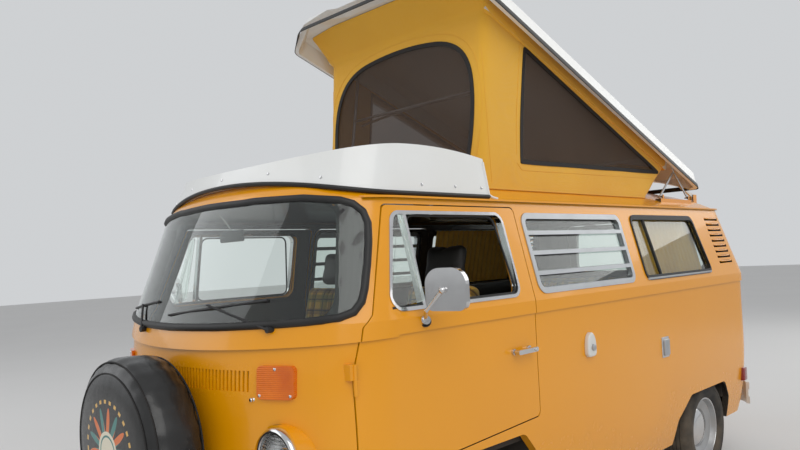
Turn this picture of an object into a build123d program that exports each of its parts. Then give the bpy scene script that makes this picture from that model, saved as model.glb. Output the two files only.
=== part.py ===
from build123d import *
import math
import os

# Camper van with a raised pop-top, millimetres.
# x points to the vehicle's left, y rearward from the front axle, z up from the road.

# Chassis
WHEELBASE = 2400
TRACK_FRONT = 1395
TRACK_REAR = 1455
TYRE_RADIUS = 324
TYRE_HALF = 92
TYRE_BEAD = 64
TYRE_SHOULDER = 74
TYRE_TREAD = 56
RIM_RADIUS = 192
RIM_HALF = 70
RIM_LIP = 14
HUB_SET = 10
KINGPIN_X = 610
GROUND_CLEARANCE = 330
MOVING_GAP = 5
SEAT_GAP = 0.3

# Body shell
WALL = 42
BELT_PROUD = 8
BELT_TOP = 1312
BELT_LOW_SIDE = 1256
BELT_LOW_NOSE = 1220
GUTTER_Z = 1766
GUTTER_THICK = 8
GUTTER_REACH = 16
GUTTER_FRONT = -470
ROOF_SKIN = 26
NOSE_SPLIT = -200
TAIL_SPLIT = 2960
NOSE_BOW = 1500
NOSE_CORNER = 270
TAIL_BOW = 4200
TAIL_CORNER = 250
OUTSIDE = 960
REGION_FRONT = -1000
REGION_REAR = 3400

# Body sections: height, half width, nose, tail
LOWER_SECTIONS = [
    (GROUND_CLEARANCE, 804, -880, 3238),
    (520, 838, -899, 3272),
    (900, 855, -910, 3290),
    (1290, 856, -884, 3284),
]
BELT_SECTIONS = [
    (BELT_LOW_NOSE - 20, 855 + BELT_PROUD, -902 - BELT_PROUD, 3285 + BELT_PROUD),
    (BELT_TOP, 853 + BELT_PROUD, -876 - BELT_PROUD, 3280 + BELT_PROUD),
]
GREENHOUSE_SECTIONS = [BELT_SECTIONS[-1], (GUTTER_Z, 752, -694, 3128)]
INNER_SECTIONS = LOWER_SECTIONS[:-1] + [(BELT_TOP,) + LOWER_SECTIONS[-1][1:]]
# Roof dome: height, then how far flanks, ends and corners have drawn in
DOME_SECTIONS = [
    (GUTTER_Z, 0, 0, 0),
    (1800, 62, 18, 15),
    (1845, 167, 62, 45),
    (1905, 352, 190, 100),
    (1943, 520, 400, 160),
]

# Windscreen
SCREEN_LOW_CENTRE = 1292
SCREEN_LOW_CORNER = 1318
SCREEN_TOP_CENTRE = 1792
SCREEN_TOP = 1752
SCREEN_HALF_LOW = 770
SCREEN_HALF_TOP = 668
SCREEN_CORNER = 95
SCREEN_SEAL = 30
GLASS = 6
GLASS_DEPTH = 12
SEAL_PROUD = 7
SEAL_BACK = 28

# Side windows: name, front top y, rear top y, rear bottom y, front bottom y
WINDOW_TOP = 1716
WINDOW_LOW = 1338
SIDE_WINDOWS = {
    "door": (-377, 324, 330, -491),
    "middle": (466, 1425, 1430, 474),
    "rear": (1547, 2417, 2520, 1559),
}
WINDOW_CORNER = 55
PANE_FRAME = 30
JALOUSIE_FRAME = 28
JALOUSIE_RAILS = 3
JALOUSIE_RAIL = 20
DOOR_TRIM = 14

# Quarter light, swung open in the front door window
VENT_POST_Y = -313
VENT_POST = 16
VENT_TURN = 38
VENT_FRAME = 13
VENT_AXIS_LOW = (848, -400, WINDOW_LOW)
VENT_AXIS_TOP = (757, -345, WINDOW_TOP)

# Front doors
DOOR_REAR = 430
DOOR_TOP = 1742
DOOR_FRONT = -640
DOOR_FOOT = 395
DOOR_OVER_ARCH = 792
HINGE_X = 818
HINGE_Y = DOOR_FRONT + 2
HINGE_BARREL = 7
HINGE_LENGTH = 56
HINGE_LEAF = 34
HINGE_HEIGHTS = (600, 1060)
HINGE_SWEEP = 106

# Sliding door on the right
SLIDE_FRONT = 452
SLIDE_REAR = 1497
SLIDE_FOOT = DOOR_FOOT + 8

# Wheel arches
FRONT_ARCH = [(-440, 250), (-352, 600), (-240, 737), (305, 737), (430, 600), (505, 250)]
REAR_ARCH = [(1860, 250), (1930, 470), (2110, 598), (2660, 598), (2752, 480), (2775, 250)]
ARCH_CORNER = 60
WHEELHOUSE_X = 828
WHEELHOUSE_TOP = 690

# Louvres of the engine's air intakes, high on the rear corners
LOUVRE_COUNT = 9
LOUVRE_PITCH = 37
LOUVRE_HEIGHT = 20
LOUVRE_FRONT = 2694
LOUVRE_LENGTH = 230
LOUVRE_LEAN = 6
LOUVRE_LOW = 1392

# Tailgate and engine lid
HATCH_TOP = 1735
HATCH_FOOT = 1010
HATCH_HALF_TOP = 560
HATCH_HALF_FOOT = 640
HATCH_AXIS = (3146, 1736)
HATCH_WINDOW_TOP = 1690
HATCH_WINDOW_LOW = 1345
HATCH_WINDOW_HALF_TOP = 480
HATCH_WINDOW_HALF_LOW = 560
ENGINE_LID_TOP = 985
ENGINE_LID_FOOT = 575
ENGINE_LID_HALF = 520
ENGINE_LID_AXIS = (3296, 984)
TAIL_BARREL = 6
TAIL_HINGE_X = 380
TAIL_HINGE_HALF = 20

# Floor, with a board in the cabin, and boxes over the wheels: x inner, x outer, y front, y rear, top
FLOOR_TOP = 470
FLOOR_SKIN = 24
FLOOR_UNDER = FLOOR_TOP - FLOOR_SKIN
BOARD_HALF = 390
BOARD_FRONT = 560
BOARD_REAR = 1720
BOARD_TOP = FLOOR_TOP + 4
SILL_TOP = 390
SILL_DEPTH = 46
SILL_REAR = 2000
SEAT_BOX = (236, 796, -400, 420, 770)
SEAT_BOX_LINER = 772
REAR_BOX = (506, 830, 2020, 2762, 716)
DECK_TOP = 900
DECK_FRONT = 2330
DECK_REAR = 3190
RAIL_X = 360
RAIL_HALF = 38
RAIL_LOW = 370

# Axles
TUBE_Y = -165
TUBE_RADIUS = 30
TUBE_HEIGHTS = (336, 246)
EYE_HEIGHTS = (396, 262)
EYE_HEIGHT = 26
EYE_RADIUS = 26
DISC_RADIUS = 139
DRUM_RADIUS = 135
SHAFT_RADIUS = 20
PIVOT_Y = 2010
PIVOT_Z = 328

# Engine and silencer
ENGINE_FRONT = 2600.3
ENGINE_REAR = 3050
ENGINE_HALF = 318
ENGINE_LOW = 300
ENGINE_TOP = 800
SILENCER_Y = 3130
SILENCER_Z = 285
SILENCER_RADIUS = 70

# Cab
DASH_LOW = 1020
DASH_TOP = 1225
DASH_REAR = -650
WHEEL_CENTRE = (380, -420, 1130)
WHEEL_FOOT = (380, -720, FLOOR_TOP)
WHEEL_RADIUS = 198
SEAT_X = 400
SEAT_HALF = 230
SEAT_TOP = 900
SEAT_RAKE = 14

# Nose fittings
GRILLE_LOW = 1053
GRILLE_TOP = 1172
GRILLE_HALF = 482
SLOT_COUNT = 22
SLOT_PITCH = 19
SLOT_WIDTH = 9
SIGNAL_INNER = 500
SIGNAL_OUTER = 642
FITTING_DEPTH = 10
FITTING_PROUD = 14
LAMP_X = 586
LAMP_Z = 842
LAMP_FACE = -812
LAMP_BACK = -780
LAMP_RADIUS = 104
LAMP_RING = 112
LAMP_COLLAR = 124
LENS_RADIUS = 96
LENS_RISE = 24

# Wipers: pivot, arm end, blade's two ends, each as (x, z) on the windscreen
WIPERS = [
    ((545, 1300), (225, 1390), (507, 1403), (-32, 1350)),
    ((-265, 1286), (-375, 1386), (-170, 1402), (-590, 1362)),
]

# Bumpers: lower and upper edge of each band, and how proud it stands
BUMPER_BANDS = [(357, 408, 8), (408, 460, 0), (460, 511, 8)]
BUMPER_HALF = 850
BUMPER_NOSE = -1010
BUMPER_BLADE = 14
BUMPER_END_FRONT = -660
BUMPER_END_REAR = 3130

# Spare wheel under its cover
SPARE_Z = 862
SPARE_RADIUS = 342
SPARE_BACK = -940
SPARE_DEPTH = 205
SPARE_DOME = 22

# Pop-top, drawn shut and then raised about its rear axis
LID_ANGLE = 19.2
LID_AXIS_Y = 3000
LID_AXIS_Z = 1880
LID_HALF = 683
LID_FRONT = 52
LID_FRONT_HALF = 470
LID_CORNER_Y = 190
LID_REAR = 2816
LID_FOOT = 1858
LID_TOP = 1958
LID_CROWN = 2000
LID_SKIN = 22
LID_DRAW = 26
LID_CROWN_DRAW = 150
LID_CLEAR = 24
RAIL_FRONT = 388
RAIL_REAR = 2452
RAIL_FOOT = LID_FOOT + 12
CANVAS_HALF = 582
CANVAS_FRONT = 450
CANVAS_REAR = 2190
CANVAS_SKIN = 4
ARM_X = 560
ARM_HALF = 8
ARM_PIN = 9
BAIL_X = 500
BAIL_Y = 540
BAIL_Z = 1905
BAIL_FOOT_Z = 1872
BAIL_RADIUS = 9
BAIL_PIN = 5
BAIL_BAR = 0.6
STOP_TOP = 1887
STOP_SIDE = 6
STAY_APEX = (2500, 2018)
STAY_PIVOT_Z = 1858
STAY_FRONT_Y = 2290
STAY_REAR_Y = 2700
STAY_PIN = 4
ROOF_HATCH_HALF = 520
ROOF_HATCH_FRONT = 500
ROOF_HATCH_REAR = 2120

# Luggage tray
TRAY_SECTIONS = [(1774, 740, -684, 1200), (1995, 700, -575, 1200)]
TRAY_REAR = 292
TRAY_WALL = 12
TRAY_FLOOR = 14
TRAY_LOW_SIDE = 1722
TRAY_LOW_FRONT = 1864

TAIL_LIMIT = 3345
NOSE_LIMIT = SPARE_BACK - SPARE_DEPTH - SPARE_DOME
CENTRE_Y = (TAIL_LIMIT + NOSE_LIMIT) / 2

PIECES = {}


def keep(name, shape):
    """Files one piece under its name, moved so that the vehicle's middle is at y = 0."""
    PIECES[name] = Pos(0, -CENTRE_Y, 0) * shape


def block(x0, x1, y0, y1, z0, z1):
    """A box between two corners."""
    return Pos((x0 + x1) / 2, (y0 + y1) / 2, (z0 + z1) / 2) * Box(x1 - x0, y1 - y0, z1 - z0)


def rod_x(x0, x1, y, z, radius):
    """A round bar along x."""
    return Pos((x0 + x1) / 2, y, z) * Rot(0, 90, 0) * Cylinder(radius, abs(x1 - x0))


def rod_y(x, y0, y1, z, radius):
    """A round bar along y."""
    return Pos(x, (y0 + y1) / 2, z) * Rot(90, 0, 0) * Cylinder(radius, abs(y1 - y0))


def rod_z(x, y, z0, z1, radius):
    """A round bar along z."""
    return Pos(x, y, (z0 + z1) / 2) * Cylinder(radius, abs(z1 - z0))


def rod_between(start, end, radius):
    """A round bar from one point to another."""
    line = Vector(*end) - Vector(*start)
    plane = Plane(origin=start, z_dir=line)
    return plane * Pos(0, 0, line.length / 2) * Cylinder(radius, line.length)


def mirrored(shape):
    """The same shape on the vehicle's other side."""
    return mirror(shape, about=Plane.YZ)


def both(shape):
    """The shape together with its like on the other side."""
    return shape + mirrored(shape)


def side_prism(points, x0, x1, corner=0):
    """A side outline of (y, z) points, rounded at its corners, carried from x0 to x1."""
    face = make_face(Polyline([(0, y, z) for y, z in points], close=True))
    if corner:
        face = fillet(face.vertices(), corner)
    return Pos(x0, 0, 0) * extrude(face, x1 - x0, dir=(1, 0, 0))


def end_prism(points, y0, y1, corner=0):
    """An end outline of (x, z) points, rounded at its corners, carried from y0 to y1."""
    face = make_face(Polyline([(x, 0, z) for x, z in points], close=True))
    if corner:
        face = fillet(face.vertices(), corner)
    return Pos(0, y0, 0) * extrude(face, y1 - y0, dir=(0, 1, 0))


def plan(z, half, nose, tail, inset=0, corner_cut=0):
    """Closed plan outline: a bowed nose and tail, round corners and straight flanks."""
    half = half - inset
    nose = nose + inset
    tail = tail - inset
    nose_bow = NOSE_BOW - inset
    tail_bow = TAIL_BOW - inset
    nose_corner = NOSE_CORNER - inset - corner_cut
    tail_corner = TAIL_CORNER - inset - corner_cut

    def end(tip, bow, corner, way):
        """Flank point, corner's meeting point and corner's middle of one end."""
        reach = math.sqrt((bow - corner) ** 2 - (half - corner) ** 2)
        centre = tip + way * bow
        flank = centre - way * reach
        angle = math.atan2(flank - centre, half - corner)
        meet = (bow * math.cos(angle), centre + bow * math.sin(angle))
        middle = angle / 2
        mid = (half - corner + corner * math.cos(middle), flank + corner * math.sin(middle))
        return flank, meet, mid

    front, front_meet, front_mid = end(nose, nose_bow, nose_corner, 1)
    rear, rear_meet, rear_mid = end(tail, tail_bow, tail_corner, -1)
    edges = [
        Line((half, front), (half, rear)),
        ThreePointArc((half, rear), rear_mid, rear_meet),
        ThreePointArc(rear_meet, (0, tail), (-rear_meet[0], rear_meet[1])),
        ThreePointArc((-rear_meet[0], rear_meet[1]), (-rear_mid[0], rear_mid[1]), (-half, rear)),
        Line((-half, rear), (-half, front)),
        ThreePointArc((-half, front), (-front_mid[0], front_mid[1]), (-front_meet[0], front_meet[1])),
        ThreePointArc((-front_meet[0], front_meet[1]), (0, nose), front_meet),
        ThreePointArc(front_meet, front_mid, (half, front)),
    ]
    return Pos(0, 0, z) * make_face(edges)


def stack(sections, inset=0, ruled=True):
    """A solid through plan outlines."""
    faces = [plan(z, half, nose, tail, inset) for z, half, nose, tail in sections]
    return loft(faces, ruled=ruled)


def dome(inset=0, lift=0):
    """The solid under the roof's outer skin, down to the gutter."""
    faces = []
    half, nose, tail = GREENHOUSE_SECTIONS[-1][1:]
    for z, side_draw, end_draw, corner_draw in DOME_SECTIONS:
        faces.append(plan(z + lift, half - side_draw, nose + end_draw, tail - end_draw, inset, corner_draw))
    return loft(faces, ruled=False)


def lower_body(inset=0):
    """The solid inside the lower flanks, nose and tail."""
    return stack(LOWER_SECTIONS, inset, ruled=False)


def lower_room(inset):
    """The space inside the lower shell up to the belt, at a depth from the skin."""
    return stack(INNER_SECTIONS, inset, ruled=False)


def greenhouse_row(z):
    """Half width, nose and tail of the window band's skin at a height, carried on past its ends."""
    low, high = GREENHOUSE_SECTIONS
    share = (z - low[0]) / (high[0] - low[0])
    return (z,) + tuple(a + share * (b - a) for a, b in zip(low[1:], high[1:]))


def band(outer, inner):
    """A thin layer of the window band between two depths."""
    rows = [greenhouse_row(BELT_TOP - 60), greenhouse_row(GUTTER_Z + 46)]
    return stack(rows, outer) - stack(rows, inner)


# Body shell, in one piece before it is parted
belt_region = block(-OUTSIDE, OUTSIDE, -460, REGION_REAR, BELT_LOW_SIDE, BELT_TOP)
dip = make_face([
    ThreePointArc((-OUTSIDE, 0, BELT_LOW_SIDE), (0, 0, BELT_LOW_NOSE), (OUTSIDE, 0, BELT_LOW_SIDE)),
    Line((OUTSIDE, 0, BELT_LOW_SIDE), (OUTSIDE, 0, BELT_TOP)),
    Line((OUTSIDE, 0, BELT_TOP), (-OUTSIDE, 0, BELT_TOP)),
    Line((-OUTSIDE, 0, BELT_TOP), (-OUTSIDE, 0, BELT_LOW_SIDE)),
])
belt_region = belt_region + Pos(0, REGION_FRONT, 0) * extrude(dip, 545, dir=(0, 1, 0))
belt = stack(BELT_SECTIONS) & belt_region
body_outer = lower_body() + belt + stack(GREENHOUSE_SECTIONS)
body_inner = lower_room(WALL) + stack(GREENHOUSE_SECTIONS, WALL)
shell = body_outer - body_inner

# Windscreen opening
screen_face = make_face([
    ThreePointArc(
        (-SCREEN_HALF_LOW, 0, SCREEN_LOW_CORNER), (0, 0, SCREEN_LOW_CENTRE),
        (SCREEN_HALF_LOW, 0, SCREEN_LOW_CORNER),
    ),
    Line((SCREEN_HALF_LOW, 0, SCREEN_LOW_CORNER), (SCREEN_HALF_TOP, 0, SCREEN_TOP)),
    ThreePointArc((SCREEN_HALF_TOP, 0, SCREEN_TOP), (0, 0, SCREEN_TOP_CENTRE), (-SCREEN_HALF_TOP, 0, SCREEN_TOP)),
    Line((-SCREEN_HALF_TOP, 0, SCREEN_TOP), (-SCREEN_HALF_LOW, 0, SCREEN_LOW_CORNER)),
])
screen_face = fillet(screen_face.vertices(), SCREEN_CORNER)


def screen_prism(inset=0):
    """The windscreen's outline, drawn in all round, carried through the nose."""
    face = offset(screen_face, -inset) if inset else screen_face
    return Pos(0, REGION_FRONT, 0) * extrude(face, 700, dir=(0, 1, 0))


def window_prism(name, grow=0):
    """A side window's outline, grown all round, carried out through the left flank."""
    front_top, rear_top, rear_low, front_low = SIDE_WINDOWS[name]
    points = [
        (front_top - grow, WINDOW_TOP + grow),
        (rear_top + grow, WINDOW_TOP + grow),
        (rear_low + grow, WINDOW_LOW - grow),
        (front_low - grow, WINDOW_LOW - grow),
    ]
    return side_prism(points, 600, OUTSIDE, WINDOW_CORNER + grow)


def door_prism(gap=0):
    """A front door's outline, drawn in all round by the gap."""
    points = [
        (-405 + gap, DOOR_TOP - gap),
        (DOOR_REAR - gap, DOOR_TOP - gap),
        (DOOR_REAR - gap, DOOR_OVER_ARCH + gap),
        (-130, DOOR_OVER_ARCH - 27 + gap),
        (-262 - gap / 2, 762 + gap),
        (-388 - gap, 605 + gap / 2),
        (-470 - gap, DOOR_FOOT + gap),
        (DOOR_FRONT + gap, DOOR_FOOT + gap),
        (DOOR_FRONT + gap, 1130),
        (-600 + gap, 1295),
        (-560 + gap, 1335),
    ]
    return side_prism(points, 500, OUTSIDE, 28 - gap / 2)


def slide_prism(gap=0):
    """The sliding door's outline on the right, drawn in all round by the gap."""
    points = [
        (SLIDE_FRONT + gap, DOOR_TOP - gap),
        (SLIDE_REAR - gap, DOOR_TOP - gap),
        (SLIDE_REAR - gap, SLIDE_FOOT + gap),
        (SLIDE_FRONT + 60 + gap / 2, SLIDE_FOOT + gap),
        (SLIDE_FRONT + gap, SLIDE_FOOT + 192),
    ]
    return side_prism(points, -OUTSIDE, -500, 60 - gap)


def tail_prism(half_top, half_foot, top, foot, corner):
    """A symmetrical outline carried through the tail."""
    points = [(-half_top, top), (half_top, top), (half_foot, foot), (-half_foot, foot)]
    return end_prism(points, 2900, REGION_REAR, corner)


def hatch_prism(gap=0):
    """The tailgate's outline, drawn in all round by the gap."""
    return tail_prism(HATCH_HALF_TOP - gap, HATCH_HALF_FOOT - gap, HATCH_TOP - gap, HATCH_FOOT + gap, 70 - gap)


def engine_lid_prism(gap=0):
    """The engine lid's outline, drawn in all round by the gap."""
    half = ENGINE_LID_HALF - gap
    return tail_prism(half, half, ENGINE_LID_TOP - gap, ENGINE_LID_FOOT + gap, 60 - gap)


def hatch_window_prism(inset=0):
    """The tailgate window's outline, drawn in all round."""
    return tail_prism(
        HATCH_WINDOW_HALF_TOP - inset, HATCH_WINDOW_HALF_LOW - inset,
        HATCH_WINDOW_TOP - inset, HATCH_WINDOW_LOW + inset, 70 - inset,
    )


# Frame of the shell, after doors, lids, windows and arches are cut out
arch_cut = side_prism(FRONT_ARCH, 500, OUTSIDE, ARCH_CORNER) + side_prism(REAR_ARCH, 500, OUTSIDE, ARCH_CORNER)
flank_cut = door_prism() + arch_cut + window_prism("rear")
wheelhouse = block(500, WHEELHOUSE_X, 2030, 2752, 250, WHEELHOUSE_TOP)
frame_shell = shell - screen_prism() - both(flank_cut) - window_prism("middle") - slide_prism()
frame_shell = frame_shell - hatch_prism() - engine_lid_prism() - both(wheelhouse)
for index in range(LOUVRE_COUNT):
    low = LOUVRE_LOW + index * LOUVRE_PITCH
    front = LOUVRE_FRONT - index * LOUVRE_LEAN
    frame_shell = frame_shell - both(block(700, OUTSIDE, front, front + LOUVRE_LENGTH, low, low + LOUVRE_HEIGHT))

nose_panel = frame_shell & block(-OUTSIDE, OUTSIDE, REGION_FRONT, NOSE_SPLIT, 0, 2000)
side_left = frame_shell & block(0, OUTSIDE, NOSE_SPLIT, TAIL_SPLIT, 0, 2000)
side_right = frame_shell & block(-OUTSIDE, 0, NOSE_SPLIT, TAIL_SPLIT, 0, 2000)
tail_panel = frame_shell & block(-OUTSIDE, OUTSIDE, TAIL_SPLIT, REGION_REAR, 0, 2000)
keep("side_panel_left", side_left)
keep("side_panel_right", side_right)

# Front doors on their hinges: a barrel on the door under a barrel on the body
door_left = (shell & door_prism(MOVING_GAP)) - window_prism("door")
for height in HINGE_HEIGHTS:
    middle = height + HINGE_LENGTH
    top = height + 2 * HINGE_LENGTH
    door_barrel = rod_z(HINGE_X, HINGE_Y, height, middle, HINGE_BARREL)
    door_leaf = block(HINGE_X - HINGE_LEAF, HINGE_X, HINGE_Y, HINGE_Y + 22, height, middle)
    door_relief = rod_z(HINGE_X, HINGE_Y, height - 3, middle + 3, HINGE_BARREL + MOVING_GAP)
    body_barrel = rod_z(HINGE_X, HINGE_Y, middle + SEAT_GAP, top, HINGE_BARREL)
    body_leaf = block(HINGE_X - HINGE_LEAF, HINGE_X, HINGE_Y - 22, HINGE_Y, middle + SEAT_GAP, top)
    body_relief = rod_z(HINGE_X, HINGE_Y, middle - 3, top + 3, HINGE_BARREL + MOVING_GAP)
    nose_panel = nose_panel - both(door_relief) + both(body_barrel + body_leaf)
    door_left = door_left - body_relief + door_barrel + door_leaf
keep("door_left", door_left)
keep("door_right", mirrored(door_left))

# Roof with its gutter
roof_solid = dome()
roof_core = dome(ROOF_SKIN / 2)
gutter_top = greenhouse_row(GUTTER_Z)[1:]
gutter_rows = [(GUTTER_Z,) + gutter_top, (GUTTER_Z + GUTTER_THICK,) + gutter_top]
gutter = stack(gutter_rows, -GUTTER_REACH) - stack(gutter_rows, ROOF_SKIN / 2)
gutter = gutter & block(-OUTSIDE, OUTSIDE, GUTTER_FRONT, REGION_REAR, 1000, 2000)
roof_panel = (roof_solid - dome(ROOF_SKIN, lift=-0.01) - screen_prism()) + gutter
roof_panel = roof_panel - block(
    -ROOF_HATCH_HALF, ROOF_HATCH_HALF, ROOF_HATCH_FRONT, ROOF_HATCH_REAR, 1700, 2100
)

# Windscreen and rear side windows, each in a rubber seal
pane_band = band(GLASS_DEPTH, GLASS_DEPTH + GLASS)
seal_band = band(-SEAL_PROUD, SEAL_BACK)
windscreen = pane_band & screen_prism(SCREEN_SEAL / 2)
screen_seal = (seal_band & screen_prism()) - screen_prism(SCREEN_SEAL) - windscreen
rear_pane = pane_band & window_prism("rear", -PANE_FRAME / 2)
rear_seal = (seal_band & window_prism("rear")) - window_prism("rear", -PANE_FRAME) - rear_pane
keep("windscreen", windscreen)
keep("window_seals", screen_seal + both(rear_seal))

# Louvred middle windows: an alloy frame with three rails, glass slats between
trim_band = band(-5, GLASS_DEPTH + GLASS + 8)
jalousie = (trim_band & window_prism("middle")) - window_prism("middle", -JALOUSIE_FRAME)
rail_region = trim_band & window_prism("middle", -JALOUSIE_FRAME / 2)
rail_pitch = (WINDOW_TOP - WINDOW_LOW) / (JALOUSIE_RAILS + 1)
for index in range(JALOUSIE_RAILS):
    low = WINDOW_LOW + (index + 1) * rail_pitch - JALOUSIE_RAIL / 2
    jalousie = jalousie + (rail_region & block(600, OUTSIDE, 400, 1500, low, low + JALOUSIE_RAIL))
slats = (pane_band & window_prism("middle", -JALOUSIE_FRAME / 2)) - jalousie
keep("jalousie_frames", both(jalousie))
keep("side_glass", both(rear_pane) + both(slats))

# Sliding door, shut, standing on the floor by its guide
slide_door = (shell & slide_prism(MOVING_GAP)) - mirrored(window_prism("middle"))
guide_front = SLIDE_FRONT + 300
guide = block(-770, -700, guide_front, guide_front + 80, FLOOR_TOP + SEAT_GAP, FLOOR_TOP + 60)
guide = guide + block(-820, -700, guide_front, guide_front + 80, FLOOR_TOP + 40, FLOOR_TOP + 60)
keep("sliding_door", slide_door + guide)

# Quarter lights with the trim and posts that carry them
door_trim = (trim_band & window_prism("door")) - window_prism("door", -DOOR_TRIM)
post = block(600, OUTSIDE, VENT_POST_Y, VENT_POST_Y + VENT_POST, WINDOW_LOW, WINDOW_TOP)
door_trim = door_trim + (trim_band & post & window_prism("door", -DOOR_TRIM / 2))


def vent_prism(inset=0):
    """The quarter light's outline, drawn in all round."""
    front_top, front_low = SIDE_WINDOWS["door"][0], SIDE_WINDOWS["door"][3]
    points = [
        (front_top + 24 + inset, WINDOW_TOP - 22 - inset),
        (VENT_POST_Y - 5 - inset, WINDOW_TOP - 22 - inset),
        (VENT_POST_Y - 5 - inset, WINDOW_LOW + 20 + inset),
        (front_low + 30 + inset, WINDOW_LOW + 20 + inset),
    ]
    return side_prism(points, 600, OUTSIDE, 16 - inset)


vent = (band(0, 14) & vent_prism()) - vent_prism(VENT_FRAME) + (band(4, 9) & vent_prism(VENT_FRAME / 2))
vent_line = Vector(*VENT_AXIS_TOP) - Vector(*VENT_AXIS_LOW)
vent_way = vent_line.normalized()
vent = vent.rotate(Axis(VENT_AXIS_LOW, vent_line), -VENT_TURN)
for point, way in ((Vector(*VENT_AXIS_LOW), vent_way), (Vector(*VENT_AXIS_TOP), vent_way * -1)):
    vent = vent + rod_between(tuple(point + way * 6), tuple(point + way * 32), 5)
door_trim = door_trim - vent
keep("quarter_light_left", vent)
keep("quarter_light_right", mirrored(vent))

# Door mirror on its arm, and the pull handle
mirror_head = Box(170, 26, 155)
mirror_head = fillet(mirror_head.edges().filter_by(Axis.Y).group_by(Axis.Z)[-1], 60)
mirror_head = fillet(mirror_head.edges().filter_by(Axis.Y).group_by(Axis.Z)[0], 32)
mirror_head = Pos(1000, -340, 1412) * Rot(0, 0, 10) * mirror_head
elbow = (915, -362, 1335)
mirror_arm = rod_between((862, -314, 1292), elbow, 8) + rod_between(elbow, (996, -362, 1410), 8)
mirror_arm = mirror_arm + Pos(*elbow) * Sphere(8) + Pos(996, -362, 1410) * Sphere(13)
mirror_foot = rod_between((855, -309, 1290), (872, -319, 1297), 18)
handle = fillet(block(884, 898, 228, 376, 1093, 1113).edges().filter_by(Axis.X), 8)
for y in (246, 358):
    handle = handle + rod_x(850, 886, y, 1103, 9)
fittings = (mirror_head + mirror_arm + mirror_foot + handle) - door_left
keep("door_fittings_left", fittings + door_trim)
keep("door_fittings_right", mirrored(fittings + door_trim))

# Tailgate with its glass, and the engine lid, hung on barrels outside the skin
tailgate = (shell & hatch_prism(MOVING_GAP)) - hatch_window_prism()
tail_glass = pane_band & hatch_window_prism(0.5)
engine_lid = shell & engine_lid_prism(MOVING_GAP)


def tail_leaf(low, high, axis, reach, under, over):
    """A hinge barrel about (y, z) with a flat leaf reaching forward into the skin."""
    y, z = axis
    leaf = block(low, high, y - reach, y, z + under, z + over)
    return rod_x(low, high, y, z, TAIL_BARREL) + leaf


for x in (-TAIL_HINGE_X, TAIL_HINGE_X):
    low = x - TAIL_HINGE_HALF
    high = x + TAIL_HINGE_HALF
    tailgate = tailgate + tail_leaf(low, high, HATCH_AXIS, 44, -18, -3)
    engine_lid = engine_lid + tail_leaf(low, high, ENGINE_LID_AXIS, 40, -18, -3)
    for near, far in ((low - 30, low - SEAT_GAP), (high + SEAT_GAP, high + 30)):
        tail_panel = tail_panel + tail_leaf(near, far, HATCH_AXIS, 50, 2, 12)
        tail_panel = tail_panel + tail_leaf(near, far, ENGINE_LID_AXIS, 40, 3, 12)
keep("tailgate", tailgate)
keep("tailgate_glass", tail_glass)
keep("engine_lid", engine_lid)

# Floor pan between the walls, open over the wheels, with a flat board in the cabin
fit_room = lower_room(WALL + SEAT_GAP)
clear_room = lower_room(WALL + MOVING_GAP + 1)
sill_core = lower_room(WALL + SILL_DEPTH)
boxes = None
hollows = None
for x0, x1, y0, y1, top in (SEAT_BOX, REAR_BOX):
    skin = FLOOR_SKIN
    liner = min(x1, SEAT_BOX_LINER)
    box = both(block(x0, x1, y0, y1, FLOOR_TOP + SEAT_GAP, top))
    well = block(x0 + skin, 900, y0 + skin, y1 - skin, 300, WHEELHOUSE_TOP)
    hollow = both(well + block(x0 + skin, liner, y0 + skin, y1 - skin, WHEELHOUSE_TOP, top - skin))
    boxes = box if boxes is None else boxes + box
    hollows = hollow if hollows is None else hollows + hollow
door_sweep = both(rod_z(HINGE_X, HINGE_Y, SILL_TOP + 1, FLOOR_TOP + 10, HINGE_SWEEP))
floor = clear_room & block(-OUTSIDE, OUTSIDE, REGION_FRONT, DECK_FRONT, FLOOR_UNDER, FLOOR_TOP)
floor = (floor - hollows - door_sweep) + block(-BOARD_HALF, BOARD_HALF, BOARD_FRONT, BOARD_REAR, FLOOR_TOP, BOARD_TOP)
keep("floor_pan", floor)

# Sills under the floor's edges, between the doors' front and the rear wheels
sill_low = block(-OUTSIDE, OUTSIDE, DOOR_FRONT, SILL_REAR, GROUND_CLEARANCE + 10, SILL_TOP)
sill_high = block(-OUTSIDE, OUTSIDE, DOOR_FRONT, SILL_REAR, SILL_TOP, FLOOR_UNDER - SEAT_GAP)
sills = ((fit_room - sill_core) & sill_low) + ((clear_room - sill_core) & sill_high)
keep("sills", sills - hollows - door_sweep)

# Boxes over the wheels, with the bulkhead and the deck over the engine
bulkhead_front = DECK_FRONT - FLOOR_SKIN
bulkhead_low = FLOOR_TOP + SEAT_GAP
side_wall = block(REAR_BOX[0], REAR_BOX[1], bulkhead_front, DECK_FRONT, REAR_BOX[4], DECK_TOP)
wheel_boxes = (boxes - hollows) + both(side_wall)
wheel_boxes = wheel_boxes + block(-REAR_BOX[0], REAR_BOX[0], bulkhead_front, DECK_FRONT, bulkhead_low, DECK_TOP)
wheel_boxes = wheel_boxes + block(
    -REAR_BOX[1], REAR_BOX[1], bulkhead_front, DECK_REAR, DECK_TOP - FLOOR_SKIN, DECK_TOP
)
front_room = clear_room & block(-OUTSIDE, OUTSIDE, REGION_FRONT, DOOR_REAR + 60, SILL_TOP, SEAT_BOX[4])
rear_room = fit_room & block(-OUTSIDE, OUTSIDE, DOOR_REAR + 60, REGION_REAR, SILL_TOP, DECK_TOP)
keep("wheel_boxes", wheel_boxes & (front_room + rear_room))

# Chassis rails with their outriggers
rails = both(block(RAIL_X - RAIL_HALF, RAIL_X + RAIL_HALF, DOOR_FRONT, 3120, RAIL_LOW, FLOOR_UNDER))
for y in (-560, 560, 1150, 1720):
    rails = rails + block(-640, 640, y - 25, y + 25, RAIL_LOW + 16, FLOOR_UNDER)
keep("chassis_frame", rails)

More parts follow.
